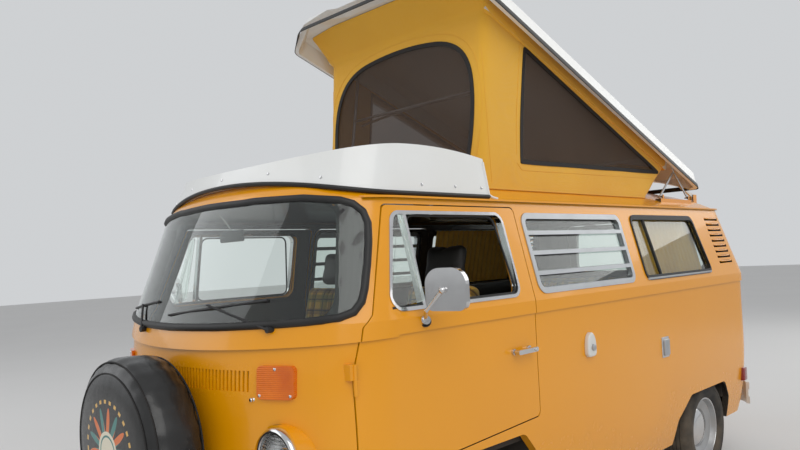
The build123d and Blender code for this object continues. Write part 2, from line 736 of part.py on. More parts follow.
# Front axle: two cross tubes under the rails, with arms ending in eyes on the steering axis
axle = both(block(RAIL_X - 45, RAIL_X + 45, TUBE_Y - 45, TUBE_Y + 45, TUBE_HEIGHTS[1], RAIL_LOW - SEAT_GAP))
for tube_z, eye_z in zip(TUBE_HEIGHTS, EYE_HEIGHTS):
    axle = axle + rod_x(-465, 465, TUBE_Y, tube_z, TUBE_RADIUS)
    lever = rod_between((448, TUBE_Y, tube_z), (KINGPIN_X - 22, 0, eye_z), 12)
    eye = rod_z(KINGPIN_X, 0, eye_z - EYE_HEIGHT / 2, eye_z + EYE_HEIGHT / 2, EYE_RADIUS)
    axle = axle + both(lever + eye)
keep("front_axle", axle)

# Steering knuckles between the eyes, each with a stub, a disc, a caliper and a steering arm
hub_front = TRACK_FRONT / 2 - HUB_SET
post_low = EYE_HEIGHTS[1] + EYE_HEIGHT / 2 + SEAT_GAP
post_top = EYE_HEIGHTS[0] - EYE_HEIGHT / 2 - SEAT_GAP
knuckle = rod_z(KINGPIN_X, 0, post_low, post_top, 20)
knuckle = knuckle + rod_x(KINGPIN_X, hub_front - SEAT_GAP, 0, TYRE_RADIUS, 24)
knuckle = knuckle + rod_x(hub_front - 44, hub_front - 32, 0, TYRE_RADIUS, DISC_RADIUS)
knuckle = knuckle + block(hub_front - 62, hub_front - 20, -132, -60, TYRE_RADIUS - 42, TYRE_RADIUS + 42)
knuckle = knuckle + block(KINGPIN_X - 12, KINGPIN_X + 12, 8, 120, TYRE_RADIUS - 10, TYRE_RADIUS + 10)
keep("knuckle_left", knuckle)
keep("knuckle_right", mirrored(knuckle))

# Rear axle: gearbox, half shafts with drums, and trailing arms from a cross tube
hub_rear = TRACK_REAR / 2 - HUB_SET
gearbox = block(-130, 130, PIVOT_Y, 2600, TYRE_RADIUS - 90, TYRE_RADIUS + 60)
rear_axle = fillet(gearbox.edges().filter_by(Axis.Y), 40)
shaft = rod_x(0, hub_rear - SEAT_GAP, WHEELBASE, TYRE_RADIUS, SHAFT_RADIUS)
drum = rod_x(hub_rear - 62, hub_rear - 20, WHEELBASE, TYRE_RADIUS, DRUM_RADIUS)
arm = rod_between((470, PIVOT_Y, PIVOT_Z), (640, WHEELBASE, TYRE_RADIUS), 28)
saddle = block(RAIL_X - RAIL_HALF, RAIL_X + RAIL_HALF, PIVOT_Y - 35, PIVOT_Y + 35, PIVOT_Z, RAIL_LOW - SEAT_GAP)
rear_axle = rear_axle + rod_x(-500, 500, PIVOT_Y, PIVOT_Z, 34) + both(shaft + drum + arm + saddle)
keep("rear_axle", rear_axle)

# Engine behind the gearbox, one plain block, and the silencer
engine = block(-ENGINE_HALF, ENGINE_HALF, ENGINE_FRONT, ENGINE_REAR, ENGINE_LOW, ENGINE_TOP)
engine_foot = block(-RAIL_X, RAIL_X, ENGINE_FRONT, ENGINE_REAR, ENGINE_LOW, RAIL_LOW - SEAT_GAP)
keep("engine_block", engine + engine_foot)
silencer = rod_x(-ENGINE_HALF, ENGINE_HALF, SILENCER_Y, SILENCER_Z, SILENCER_RADIUS)
for x in (-200, 200):
    silencer = silencer + rod_y(x, ENGINE_REAR + SEAT_GAP, SILENCER_Y, ENGINE_LOW + 10, 18)
silencer = silencer + rod_y(250, SILENCER_Y, TAIL_LIMIT - 20, SILENCER_Z - 45, 20)
keep("silencer", silencer)


# Wheels, turned about their axles
def turned(edges, centre):
    """A solid turned about an axle along x."""
    return Pos(*centre) * revolve(make_face(edges), Axis.X)


def tyre_solid(centre):
    """A tyre with bulged walls and rounded shoulders."""
    wall = (RIM_RADIUS + TYRE_RADIUS) / 2 - 4
    shoulder = (TYRE_SHOULDER, 0, TYRE_RADIUS - 14)
    crown = (TYRE_TREAD, 0, TYRE_RADIUS - 2)
    left = [
        ThreePointArc((TYRE_BEAD, 0, RIM_RADIUS), (TYRE_HALF, 0, wall), shoulder),
        ThreePointArc(shoulder, (TYRE_TREAD + 12, 0, TYRE_RADIUS - 5), crown),
    ]
    right = [mirror(edge, about=Plane.YZ) for edge in left]
    tread = ThreePointArc(crown, (0, 0, TYRE_RADIUS), (-TYRE_TREAD, 0, TYRE_RADIUS - 2))
    bead = Line((-TYRE_BEAD, 0, RIM_RADIUS), (TYRE_BEAD, 0, RIM_RADIUS))
    return turned([bead, tread] + left + right, centre)


def rim_outline(points):
    """Closed outline of (across, radius) points."""
    return Polyline([(across, 0, radius) for across, radius in points], close=True)


def rim_solid(centre):
    """A rim with its dished disc and domed hub cap."""
    lip = RIM_RADIUS + RIM_LIP
    barrel = turned(rim_outline([
        (-RIM_HALF, RIM_RADIUS - 6), (-RIM_HALF, lip), (-RIM_HALF + 6, lip), (-RIM_HALF + 6, RIM_RADIUS),
        (RIM_HALF - 6, RIM_RADIUS), (RIM_HALF - 6, lip), (RIM_HALF, lip), (RIM_HALF, RIM_RADIUS - 4),
        (RIM_HALF - 16, RIM_RADIUS - 10), (20, RIM_RADIUS - 24),
    ]), centre)
    disc = turned(rim_outline([
        (-HUB_SET, 0), (-HUB_SET, 95), (8, 130), (18, RIM_RADIUS - 22),
        (38, RIM_RADIUS - 18), (24, 124), (4, 92), (4, 0),
    ]), centre)
    cap = turned(rim_outline([
        (0, 0), (0, 96), (14, 124), (26, 120), (38, 96), (46, 60), (49, 0),
    ]), centre)
    return barrel + disc + cap


for place, y, track in (("front", 0, TRACK_FRONT), ("rear", WHEELBASE, TRACK_REAR)):
    centre = (track / 2, y, TYRE_RADIUS)
    rim = rim_solid(centre)
    tyre = tyre_solid(centre) - rim
    keep("tyre_" + place + "_left", tyre)
    keep("tyre_" + place + "_right", mirrored(tyre))
    keep("wheel_" + place + "_left", rim)
    keep("wheel_" + place + "_right", mirrored(rim))

# Dashboard, held against the inside of the nose
dash = block(-OUTSIDE, OUTSIDE, REGION_FRONT, DASH_REAR, DASH_LOW, DASH_TOP)
dash = fillet(dash.edges().filter_by(Axis.X).group_by(Axis.Y)[-1], 40)
dash_root = block(-600, 600, REGION_FRONT, -700, DASH_LOW + 20, DASH_TOP - 20)
keep("dashboard", (dash & clear_room) + (dash_root & fit_room))

# Steering wheel on its column
wheel_line = Vector(*WHEEL_CENTRE) - Vector(*WHEEL_FOOT)
wheel_way = wheel_line.normalized()
hub_length = 60
column_top = Vector(*WHEEL_CENTRE) - wheel_way * (hub_length + SEAT_GAP)
column = rod_between(tuple(Vector(*WHEEL_FOOT) - wheel_way * 40), tuple(column_top), 24)
keep("steering_column", column & block(0, OUTSIDE, REGION_FRONT, 0, FLOOR_TOP + SEAT_GAP, 1400))
wheel_plane = Plane(origin=WHEEL_CENTRE, x_dir=(1, 0, 0), z_dir=wheel_way)
steering = wheel_plane * Torus(WHEEL_RADIUS, 11)
steering = steering + wheel_plane * Pos(0, 0, -hub_length / 2) * Cylinder(36, hub_length)
for side in (-1, 1):
    steering = steering + wheel_plane * Pos(side * 112, 0, -8) * Box(170, 24, 8)
keep("steering_wheel", steering)


# Cab seats on the boxes over the front wheels
def seat(x):
    """A cushion, a raked back and a head rest."""
    low = SEAT_BOX[4] + SEAT_GAP
    cushion = fillet(block(x - SEAT_HALF, x + SEAT_HALF, -300, 190, low, SEAT_TOP).edges(), 40)
    back = fillet(block(x - SEAT_HALF, x + SEAT_HALF, -58, 58, 0, 560).edges(), 40)
    rest = fillet(block(x - 130, x + 130, -40, 40, 540, 750).edges(), 30)
    return cushion + Pos(0, 200, SEAT_TOP - 40) * Rot(-SEAT_RAKE, 0, 0) * (back + rest)


keep("front_seats", both(seat(SEAT_X)))

# Rear bench before the engine deck, and the galley cabinet behind the driver
bench_box = block(-500, 500, 1760, bulkhead_front - 6, FLOOR_TOP + SEAT_GAP, 800)
bench_cushion = fillet(block(-500, 500, 1762, 2180, 799, 920).edges(), 30)
bench_back = fillet(block(-500, 500, -50, 50, 0, 480).edges(), 30)
bench_back = Pos(0, 2190, 880) * Rot(-8, 0, 0) * bench_back
keep("rear_bench", bench_box + bench_cushion + bench_back)
cabinet = block(430, OUTSIDE, 560, 1180, FLOOR_TOP + SEAT_GAP, 1180) & fit_room
keep("galley_cabinet", cabinet)

# Curtains drawn across the rear side windows
curtain = band(WALL + SEAT_GAP, WALL + 6) & window_prism("rear", 12)
keep("curtains", both(curtain))

# Nose fittings let into the skin: fresh-air grille, turn signals, headlamps
nose_proud = lower_body(-FITTING_PROUD)
nose_depth = lower_body(FITTING_DEPTH)
grille_prism = end_prism(
    [(-GRILLE_HALF, GRILLE_LOW), (GRILLE_HALF, GRILLE_LOW), (GRILLE_HALF, GRILLE_TOP), (-GRILLE_HALF, GRILLE_TOP)],
    REGION_FRONT, -700, 14,
)
signal_prism = end_prism(
    [(SIGNAL_INNER, GRILLE_LOW), (SIGNAL_OUTER, GRILLE_LOW), (SIGNAL_OUTER, GRILLE_TOP), (SIGNAL_INNER, GRILLE_TOP)],
    REGION_FRONT, -600, 18,
)
grille = (lower_body() - nose_depth) & grille_prism
signal = (nose_proud - nose_depth) & signal_prism
nose_panel = nose_panel - grille - both(signal)
for side in (-1, 1):
    for index in range(SLOT_COUNT):
        x = side * (GRILLE_HALF - 34 - index * SLOT_PITCH)
        slot = block(x - SLOT_WIDTH / 2, x + SLOT_WIDTH / 2, REGION_FRONT, -700, GRILLE_LOW + 22, GRILLE_TOP - 22)
        grille = grille - slot
collar = rod_y(LAMP_X, LAMP_FACE, -680, LAMP_Z, LAMP_COLLAR) - body_inner
recess = rod_y(LAMP_X, REGION_FRONT, LAMP_FACE, LAMP_Z, LAMP_RING + 4)
socket = rod_y(LAMP_X, LAMP_FACE, LAMP_BACK, LAMP_Z, LAMP_RADIUS)
nose_panel = nose_panel + both(collar) - both(recess + socket)
lamp = socket + rod_y(LAMP_X, LAMP_FACE - 10, LAMP_FACE, LAMP_Z, LAMP_RING)
lens_ball = (LENS_RADIUS**2 + LENS_RISE**2) / (2 * LENS_RISE)
lens = Pos(LAMP_X, LAMP_FACE - 10 - LENS_RISE + lens_ball, LAMP_Z) * Sphere(lens_ball)
lamp = lamp + (lens & rod_y(LAMP_X, -900, LAMP_FACE - 8, LAMP_Z, LENS_RADIUS))
keep("fresh_air_grille", grille)
keep("turn_signals", both(signal))
keep("headlamps", both(lamp))


# Wipers, parked along the foot of the windscreen
def screen_point(x, z, proud):
    """A point ahead of the windscreen's skin."""
    nose = greenhouse_row(z)[2]
    return (x, nose + NOSE_BOW - math.sqrt(NOSE_BOW**2 - x**2) - proud, z)


wipers = None
for pivot, hold, near, far in WIPERS:
    boss = rod_between(screen_point(*pivot, -6), screen_point(*pivot, 20), 12)
    arm = rod_between(screen_point(*pivot, 16), screen_point(*hold, 16), 5)
    middle = ((near[0] + far[0]) / 2, (near[1] + far[1]) / 2)
    blade = rod_between(screen_point(*near, 10), screen_point(*middle, 10), 5)
    blade = blade + rod_between(screen_point(*middle, 10), screen_point(*far, 10), 5)
    wiper = boss + arm + blade + Pos(*screen_point(*middle, 10)) * Sphere(5)
    wipers = wiper if wipers is None else wipers + wiper
nose_panel = nose_panel - wipers
keep("wipers", wipers - screen_seal)
keep("nose_panel", nose_panel)


# Bumpers with two raised bands, wrapped round the corners
def bumper(y0, y1, iron_y):
    """One end's blade, with irons back to the body."""
    outer = None
    for low, high, proud in BUMPER_BANDS:
        rows = [(z, BUMPER_HALF, BUMPER_NOSE + 8, TAIL_LIMIT - 8) for z in (low, high)]
        layer = stack(rows, -proud)
        outer = layer if outer is None else outer + layer
    rows = [(z, BUMPER_HALF, BUMPER_NOSE + 8, TAIL_LIMIT - 8) for z in (BUMPER_BANDS[0][0], BUMPER_BANDS[-1][1])]
    blade = (outer - stack(rows, BUMPER_BLADE)) & block(-OUTSIDE, OUTSIDE, y0, y1, 0, 2000)
    irons = both(block(RAIL_X - 25, RAIL_X + 25, *iron_y, 400, 440))
    return (blade + irons) - lower_body()


keep("front_bumper", bumper(REGION_FRONT - 100, BUMPER_END_FRONT, (BUMPER_NOSE + 60, -800)))
keep("rear_bumper", bumper(BUMPER_END_REAR, REGION_REAR, (3240, TAIL_LIMIT - 30)))

# Spare wheel cover, domed in front, on a bracket from the nose
front = -SPARE_DEPTH
cover_outline = [
    Line((0, 0, 0), (0, front - SPARE_DOME, 0)),
    ThreePointArc((0, front - SPARE_DOME, 0), (160, front - 17, 0), (300, front, 0)),
    ThreePointArc((300, front, 0), (330, front + 12, 0), (SPARE_RADIUS, front + 42, 0)),
    ThreePointArc((SPARE_RADIUS, front + 42, 0), (SPARE_RADIUS + 3, front / 2, 0), (SPARE_RADIUS - 4, -30, 0)),
    ThreePointArc((SPARE_RADIUS - 4, -30, 0), (SPARE_RADIUS - 16, -8, 0), (300, 0, 0)),
    Line((300, 0, 0), (0, 0, 0)),
]
keep("spare_cover", Pos(0, SPARE_BACK, SPARE_Z) * revolve(make_face(cover_outline), Axis.Y))
carrier = block(-60, 60, SPARE_BACK + SEAT_GAP, SPARE_BACK + 12, 640, 980)
for z in (650, 940):
    carrier = carrier + block(-40, 40, SPARE_BACK + 5, -880, z, z + 24)
keep("spare_carrier", carrier - lower_body())

# Tail lamps let into the tail's corners
lamp_prism = end_prism([(640, 600), (745, 600), (745, 850), (640, 850)], 3000, REGION_REAR, 30)
tail_lamp = (lower_body(-10) - nose_depth) & lamp_prism
keep("tail_lamps", both(tail_lamp))
keep("tail_panel", tail_panel - both(tail_lamp))

# Water hatch and power hook-up on the left flank
water = fillet(block(845, 876, 838, 922, 1000, 1122).edges().filter_by(Axis.X), 30)
power = fillet(block(845, 872, 1700, 1790, 880, 1000).edges().filter_by(Axis.X), 12)
keep("side_inlets", (water + power) - lower_body())

# Luggage tray, open at its rear, over the front of the roof
tray_outer = stack(TRAY_SECTIONS)
tray_inner = stack(TRAY_SECTIONS, TRAY_WALL) - dome(lift=TRAY_FLOOR)
tray_side = make_face([
    ThreePointArc((0, -760, 1902), (0, -330, 1984), (0, TRAY_REAR, 1962)),
    Line((0, TRAY_REAR, 1962), (0, TRAY_REAR, 1700)),
    Line((0, TRAY_REAR, 1700), (0, -760, 1700)),
    Line((0, -760, 1700), (0, -760, 1902)),
])
tray_under = make_face([
    ThreePointArc((-OUTSIDE, 0, TRAY_LOW_SIDE), (0, 0, TRAY_LOW_FRONT), (OUTSIDE, 0, TRAY_LOW_SIDE)),
    Line((OUTSIDE, 0, TRAY_LOW_SIDE), (-OUTSIDE, 0, TRAY_LOW_SIDE)),
])
tray = (tray_outer - tray_inner) & (Pos(-OUTSIDE, 0, 0) * extrude(tray_side, 2 * OUTSIDE, dir=(1, 0, 0)))
tray = tray - Pos(0, REGION_FRONT, 0) * extrude(tray_under, 1400, dir=(0, 1, 0))
keep("luggage_tray", tray - roof_solid)


# Pop-top lid
def raised(shape):
    """Turns a piece from the shut pop-top's place to the raised one's."""
    return shape.rotate(Axis((0, LID_AXIS_Y, LID_AXIS_Z), (1, 0, 0)), -LID_ANGLE)


def raised_point(y, z):
    """Where a point of the shut pop-top lies when it is raised."""
    angle = math.radians(LID_ANGLE)
    back = y - LID_AXIS_Y
    up = z - LID_AXIS_Z
    return (
        LID_AXIS_Y + back * math.cos(angle) + up * math.sin(angle),
        LID_AXIS_Z - back * math.sin(angle) + up * math.cos(angle),
    )


def lid_plan(z, inset):
    """Plan of the lid with its chamfered front corners."""
    half = LID_HALF - inset
    nose_half = LID_FRONT_HALF - inset / 2
    corner = LID_CORNER_Y + inset / 2
    front = LID_FRONT + inset
    rear = LID_REAR - inset
    points = [(half, corner), (half, rear), (-half, rear), (-half, corner), (-nose_half, front), (nose_half, front)]
    face = make_face(Polyline([(x, y, 0) for x, y in points], close=True))
    return Pos(0, 0, z) * fillet(face.vertices(), 50)


def lid_solid(inset):
    """The lid's outer form, or its hollow when drawn in."""
    foot = LID_FOOT - 1 if inset else LID_FOOT
    walls = loft([lid_plan(foot, inset), lid_plan(LID_TOP - inset, inset + LID_DRAW)], ruled=True)
    top = lid_plan(LID_CROWN - inset, inset + LID_CROWN_DRAW)
    return walls + loft([lid_plan(LID_TOP - inset, inset + LID_DRAW), top], ruled=True)


lid_core = lid_solid(LID_SKIN - 4)
lid = lid_solid(0) - lid_solid(LID_SKIN)
rail_out = CANVAS_HALF + 10
rail_in = CANVAS_HALF - 14
canvas_rail = block(-rail_out, rail_out, RAIL_FRONT - 6, RAIL_REAR + 10, RAIL_FOOT, LID_CROWN)
canvas_rail = canvas_rail - block(-rail_in, rail_in, RAIL_FRONT + 14, RAIL_REAR - 10, RAIL_FOOT - 1, LID_CROWN + 1)
lid = (lid + (canvas_rail & lid_core)) - dome(lift=LID_CLEAR)
for side in (-1, 1):
    x = side * ARM_X
    arm = block(x - ARM_HALF, x + ARM_HALF, LID_REAR - 40, LID_AXIS_Y, LID_AXIS_Z - 12, LID_AXIS_Z + 12)
    arm = arm + rod_x(x - ARM_HALF, x + ARM_HALF, LID_AXIS_Y, LID_AXIS_Z, 20)
    lid = lid + (arm - rod_x(x - 20, x + 20, LID_AXIS_Y, LID_AXIS_Z, ARM_PIN + 0.5))
    hang = side * (BAIL_X + 18)
    bracket = block(hang - 6, hang + 6, BAIL_Y - 22, BAIL_Y + 22, BAIL_Z - 18, LID_CROWN) & lid_core
    lid = lid + bracket + rod_x(hang, side * (BAIL_X - 8), BAIL_Y, BAIL_Z, BAIL_PIN)
lid = raised(lid)
keep("pop_top_lid", lid)

# Lift bail, hung under the lid, its feet behind a stop on the roof's front rim
pivot_y, pivot_z = raised_point(BAIL_Y, BAIL_Z)
bail = None
for side in (-1, 1):
    x = side * BAIL_X
    leg = rod_between((x, BAIL_Y, BAIL_FOOT_Z), (x, pivot_y, pivot_z), BAIL_RADIUS)
    leg = leg + rod_x(x - 9, x + 9, pivot_y, pivot_z, 14)
    leg = leg - rod_x(x - 30, x + 30, pivot_y, pivot_z, BAIL_PIN + 0.4)
    bail = leg if bail is None else bail + leg
bar_y = BAIL_Y + BAIL_BAR * (pivot_y - BAIL_Y)
bar_z = BAIL_FOOT_Z + BAIL_BAR * (pivot_z - BAIL_FOOT_Z)
keep("lift_bail", bail + rod_x(-BAIL_X, BAIL_X, bar_y, bar_z, BAIL_RADIUS - 1))


# Folding stays beside the canvas's rear end: two legs a side that meet when the lid is up
def stay(x0, x1, pivot_y):
    """A flat leg from its pivot on the roof up to the apex."""
    apex_y, apex_z = STAY_APEX
    run = apex_y - pivot_y
    rise = apex_z - STAY_PIVOT_Z
    length = math.hypot(run, rise)
    leg = block(x0, x1, 0, length, -7, 7) + rod_x(x0, x1, 0, 0, 9) + rod_x(x0, x1, length, 0, 7)
    leg = leg - rod_x(x0 - 1, x1 + 1, 0, 0, STAY_PIN + 0.4)
    angle = math.degrees(math.atan2(rise, run))
    return Pos(0, pivot_y, STAY_PIVOT_Z) * Rot(angle, 0, 0) * leg


keep("lid_stays_front", both(stay(624, 630, STAY_FRONT_Y)))
keep("lid_stays_rear", both(stay(638, 644, STAY_REAR_Y)))

# Roof fittings: stay plates, hinge stands with the lid's axle, and the bail's stops
stay_plate = block(618, 656, STAY_FRONT_Y - 50, STAY_REAR_Y + 30, 1790, STAY_PIVOT_Z - 17)
for y in (STAY_FRONT_Y, STAY_REAR_Y):
    stay_plate = stay_plate + block(648, 652, y - 10, y + 10, 1820, STAY_PIVOT_Z + 10)
    stay_plate = stay_plate + rod_x(622, 650, y, STAY_PIVOT_Z, STAY_PIN)
stand = rod_x(ARM_X - ARM_HALF - 7, ARM_X + ARM_HALF + 7, LID_AXIS_Y, LID_AXIS_Z, ARM_PIN)
for near in (ARM_X - ARM_HALF - 7, ARM_X + ARM_HALF + 1):
    stand = stand + block(near, near + 6, LID_AXIS_Y - 30, LID_AXIS_Y + 30, 1780, LID_AXIS_Z + 16)
stop_rear = BAIL_Y - BAIL_RADIUS - SEAT_GAP
stop = block(BAIL_X - 20, BAIL_X + STOP_SIDE, ROOF_HATCH_FRONT - 20, stop_rear, 1840, STOP_TOP)
keep("roof_panel", roof_panel + (both(stay_plate + stand + stop) - roof_core))

# Canvas between the roof and the lid's rail, open below and above
front_top = raised_point(RAIL_FRONT + 2, LID_CROWN)
rear_top = raised_point(RAIL_REAR, LID_CROWN)
canvas_foot = GUTTER_Z + 10
canvas_outer = side_prism(
    [(CANVAS_FRONT, canvas_foot), front_top, rear_top, (CANVAS_REAR, canvas_foot)], -CANVAS_HALF, CANVAS_HALF
)
canvas_inner = side_prism(
    [
        (CANVAS_FRONT + CANVAS_SKIN, canvas_foot - 1), (front_top[0] + CANVAS_SKIN, front_top[1] + 10),
        (rear_top[0] - CANVAS_SKIN, rear_top[1] + 10), (CANVAS_REAR - CANVAS_SKIN, canvas_foot - 1),
    ],
    -CANVAS_HALF + CANVAS_SKIN, CANVAS_HALF - CANVAS_SKIN,
)
canvas = (canvas_outer - canvas_inner) - dome(lift=SEAT_GAP) - lid - Pos(0, 0, -SEAT_GAP) * lid
above = raised(block(-OUTSIDE, OUTSIDE, 0, 3000, LID_CROWN - LID_SKIN, 2400))
keep("canvas", canvas - above)

os.makedirs("parts", exist_ok=True)
for name, shape in PIECES.items():
    export_step(shape, "parts/" + name + ".step")
    print(name, len(shape.solids()), round(shape.volume / 1e6, 2))
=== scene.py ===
"""Dresses the camper van: finishes on every piece, canvas, soft seats, tyres, lamps and trim."""
import logging
import math
from contextlib import contextmanager
from dataclasses import dataclass, field
from enum import Enum
from typing import Callable, Iterator, Sequence

import bmesh
import bpy
from mathutils import Matrix, Vector


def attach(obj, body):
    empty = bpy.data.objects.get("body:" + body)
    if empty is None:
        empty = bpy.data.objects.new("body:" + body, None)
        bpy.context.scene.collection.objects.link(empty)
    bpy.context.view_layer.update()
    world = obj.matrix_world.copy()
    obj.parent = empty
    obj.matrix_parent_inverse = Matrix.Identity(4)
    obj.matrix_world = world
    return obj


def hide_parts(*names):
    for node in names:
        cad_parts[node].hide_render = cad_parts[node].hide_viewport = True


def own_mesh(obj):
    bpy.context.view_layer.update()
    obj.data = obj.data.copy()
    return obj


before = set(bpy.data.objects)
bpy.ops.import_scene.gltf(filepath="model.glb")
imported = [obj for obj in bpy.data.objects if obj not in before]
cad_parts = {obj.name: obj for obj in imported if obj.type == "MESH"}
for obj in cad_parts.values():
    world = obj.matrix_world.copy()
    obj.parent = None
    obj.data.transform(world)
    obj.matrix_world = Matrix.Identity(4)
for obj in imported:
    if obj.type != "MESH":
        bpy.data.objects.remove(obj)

LOG = logging.getLogger("camper")
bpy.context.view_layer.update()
FRONT_AXLE = 1089
LID_ANGLE = math.radians(19.2)
LID_AXIS = (3000, 1880)
Point = tuple[float, float]
Socket = bpy.types.NodeSocket
Look = tuple[Socket, Socket]


def spot(x: float, y: float, z: float) -> Vector:
    """A point in drawing millimetres, y from the front axle, as metres in the frame."""
    return Vector((x / 1000, (y - FRONT_AXLE) / 1000, z / 1000))


def raised(x: float, y: float, z: float) -> Vector:
    """Where a point of the shut pop-top lies now that it is up, in the frame."""
    back, up = y - LID_AXIS[0], z - LID_AXIS[1]
    return spot(
        x,
        LID_AXIS[0] + back * math.cos(LID_ANGLE) + up * math.sin(LID_ANGLE),
        LID_AXIS[1] - back * math.sin(LID_ANGLE) + up * math.cos(LID_ANGLE),
    )


def flank(z: float) -> float:
    """Half width of the window band's skin at a height, in drawing millimetres."""
    return 861 - (z - 1312) * 109 / 454


# Modelling by hand

def clear_selection() -> None:
    """Leaves nothing selected."""
    bpy.ops.object.select_all(action="DESELECT")


def take(piece: bpy.types.Object) -> None:
    """Selects one piece alone and makes it the active one."""
    clear_selection()
    piece.select_set(True)
    bpy.context.view_layer.objects.active = piece


def named(name: str) -> bpy.types.Object:
    """Names the primitive just added, and puts its place into its mesh.

    Args:
        name: its name.

    Returns:
        The piece, selected and active.
    """
    piece = bpy.context.object
    piece.name = name
    piece.data.name = name
    take(piece)
    bpy.ops.object.transform_apply(location=True, rotation=True, scale=True)
    return piece


@contextmanager
def shaping(piece: bpy.types.Object, kind: str = "FACE") -> Iterator[None]:
    """Opens a piece in edit mode with one kind of element selectable.

    Args:
        piece: the mesh to shape.
        kind: VERT, EDGE or FACE.
    """
    take(piece)
    bpy.ops.object.mode_set(mode="EDIT")
    bpy.ops.mesh.select_mode(type=kind)
    bpy.ops.mesh.select_all(action="DESELECT")
    yield
    bpy.ops.object.mode_set(mode="OBJECT")


def pick_faces(test: Callable[[Vector, Vector], bool]) -> None:
    """Selects the faces whose middle and normal pass a test.

    Args:
        test: says from a face's middle and normal whether it is picked.
    """
    mesh = bpy.context.edit_object.data
    shape = bmesh.from_edit_mesh(mesh)
    for face in shape.faces:
        face.select_set(test(face.calc_center_median(), face.normal))
    bmesh.update_edit_mesh(mesh)


def pick_edges(test: Callable[[Vector, Vector], bool]) -> None:
    """Selects the edges whose middle and direction pass a test.

    Args:
        test: says from an edge's middle and direction whether it is picked.
    """
    mesh = bpy.context.edit_object.data
    shape = bmesh.from_edit_mesh(mesh)
    for edge in shape.edges:
        near, far = edge.verts[0].co, edge.verts[1].co
        edge.select_set(test((near + far) / 2, far - near))
    bmesh.update_edit_mesh(mesh)


def modify(piece: bpy.types.Object, kind: str, **values: object) -> None:
    """Adds a modifier with its settings and applies it.

    Args:
        piece: the mesh.
        kind: the modifier's type.
        values: its settings.
    """
    take(piece)
    step = piece.modifiers.new(kind.lower(), kind)
    for key, value in values.items():
        setattr(step, key, value)
    bpy.ops.object.modifier_apply(modifier=step.name)


def outward(piece: bpy.types.Object, merge: float = 0.00002) -> None:
    """Merges a piece's doubles and turns its faces outwards.

    Args:
        piece: the mesh.
        merge: how near two points are to be made one, in metres.
    """
    with shaping(piece):
        bpy.ops.mesh.select_all(action="SELECT")
        bpy.ops.mesh.remove_doubles(threshold=merge)
        bpy.ops.mesh.normals_make_consistent(inside=False)


def block(name: str, low: Vector, high: Vector, bevel: float, segments: int = 2) -> bpy.types.Object:
    """A box between two corners with rounded edges.

    Args:
        name: the piece's name.
        low: its lowest corner.
        high: its highest corner.
        bevel: width of the rounding.
        segments: steps of the rounding.

    Returns:
        The piece.
    """
    clear_selection()
    bpy.ops.mesh.primitive_cube_add(size=1, location=(low + high) / 2)
    bpy.context.object.scale = high - low
    piece = named(name)
    with shaping(piece, "EDGE"):
        bpy.ops.mesh.select_all(action="SELECT")
        bpy.ops.mesh.bevel(offset=bevel, segments=segments, affect="EDGES", clamp_overlap=True)
    return piece


def turned(
    name: str, profile: Sequence[Point], centre: Vector, axis: Vector, steps: int = 48
) -> bpy.types.Object:
    """A profile extruded point by point and spun about an axis.

    Args:
        name: the piece's name.
        profile: points as (along the axis, radius) in metres.
        centre: the point that the profile is measured from.
        axis: the direction that it is spun about.
        steps: steps of the full turn.

    Returns:
        The piece, its faces outwards.
    """
    axis = axis.normalized()
    across = axis.orthogonal().normalized()
    clear_selection()
    bpy.ops.mesh.primitive_plane_add(size=0.001, location=centre)
    piece = named(name)
    places = [axis * along + across * radius for along, radius in profile]
    with shaping(piece, "VERT"):
        bpy.ops.mesh.select_all(action="SELECT")
        bpy.ops.mesh.merge(type="CENTER")
        bpy.ops.transform.translate(value=places[0])
        for before, after in zip(places, places[1:]):
            bpy.ops.mesh.extrude_vertices_move(TRANSFORM_OT_translate={"value": after - before})
        bpy.ops.mesh.select_all(action="SELECT")
        bpy.ops.mesh.spin(steps=steps, angle=2 * math.pi, center=centre, axis=axis)
    outward(piece)
    return piece


def piping(
    name: str, points: Sequence[Vector], radius: float, closed: bool = False, sides: int = 2
) -> bpy.types.Object:
    """A round trim that follows points, drawn as a path and made a mesh.

    Args:
        name: the piece's name.
        points: what it follows, in the frame.
        radius: half its thickness.
        closed: whether it comes back to its start.
        sides: bevel resolution of the round.

    Returns:
        The piece.
    """
    clear_selection()
    bpy.ops.curve.primitive_nurbs_path_add(location=(0, 0, 0))
    path = bpy.context.object
    path.data.splines.clear()
    run = path.data.splines.new("POLY")
    run.points.add(len(points) - 1)
    for knot, place in zip(run.points, points):
        knot.co = (*place, 1)
    run.use_cyclic_u = closed
    path.data.dimensions = "3D"
    path.data.bevel_depth = radius
    path.data.bevel_resolution = sides
    path.data.use_fill_caps = not closed
    take(path)
    bpy.ops.object.convert(target="MESH")
    return named(name)


def rounded(points: Sequence[Point], rounds: int = 2) -> list[Point]:
    """Cuts a closed outline's corners again and again, which rounds them.

    Args:
        points: the outline.
        rounds: how often every corner is cut.

    Returns:
        The rounded outline.
    """
    for _ in range(rounds):
        cut: list[Point] = []
        for index, (ax, ay) in enumerate(points):
            bx, by = points[(index + 1) % len(points)]
            cut.append((ax * 0.75 + bx * 0.25, ay * 0.75 + by * 0.25))
            cut.append((ax * 0.25 + bx * 0.75, ay * 0.25 + by * 0.75))
        points = cut
    return list(points)


def filleted(points: Sequence[Point], radius: float, steps: int = 5) -> list[Point]:
    """A closed outline with every corner rounded.

    Args:
        points: the outline.
        radius: how far each round reaches from its corner.
        steps: steps of each round.

    Returns:
        The outline with its rounds.
    """
    made: list[Point] = []
    for index, place in enumerate(points):
        here = Vector(place)
        before, after = Vector(points[index - 1]), Vector(points[(index + 1) % len(points)])
        near = here + (before - here).normalized() * radius
        far = here + (after - here).normalized() * radius
        for step in range(steps + 1):
            share = step / steps
            bend = near.lerp(here, share).lerp(here.lerp(far, share), share)
            made.append((bend.x, bend.y))
    return made


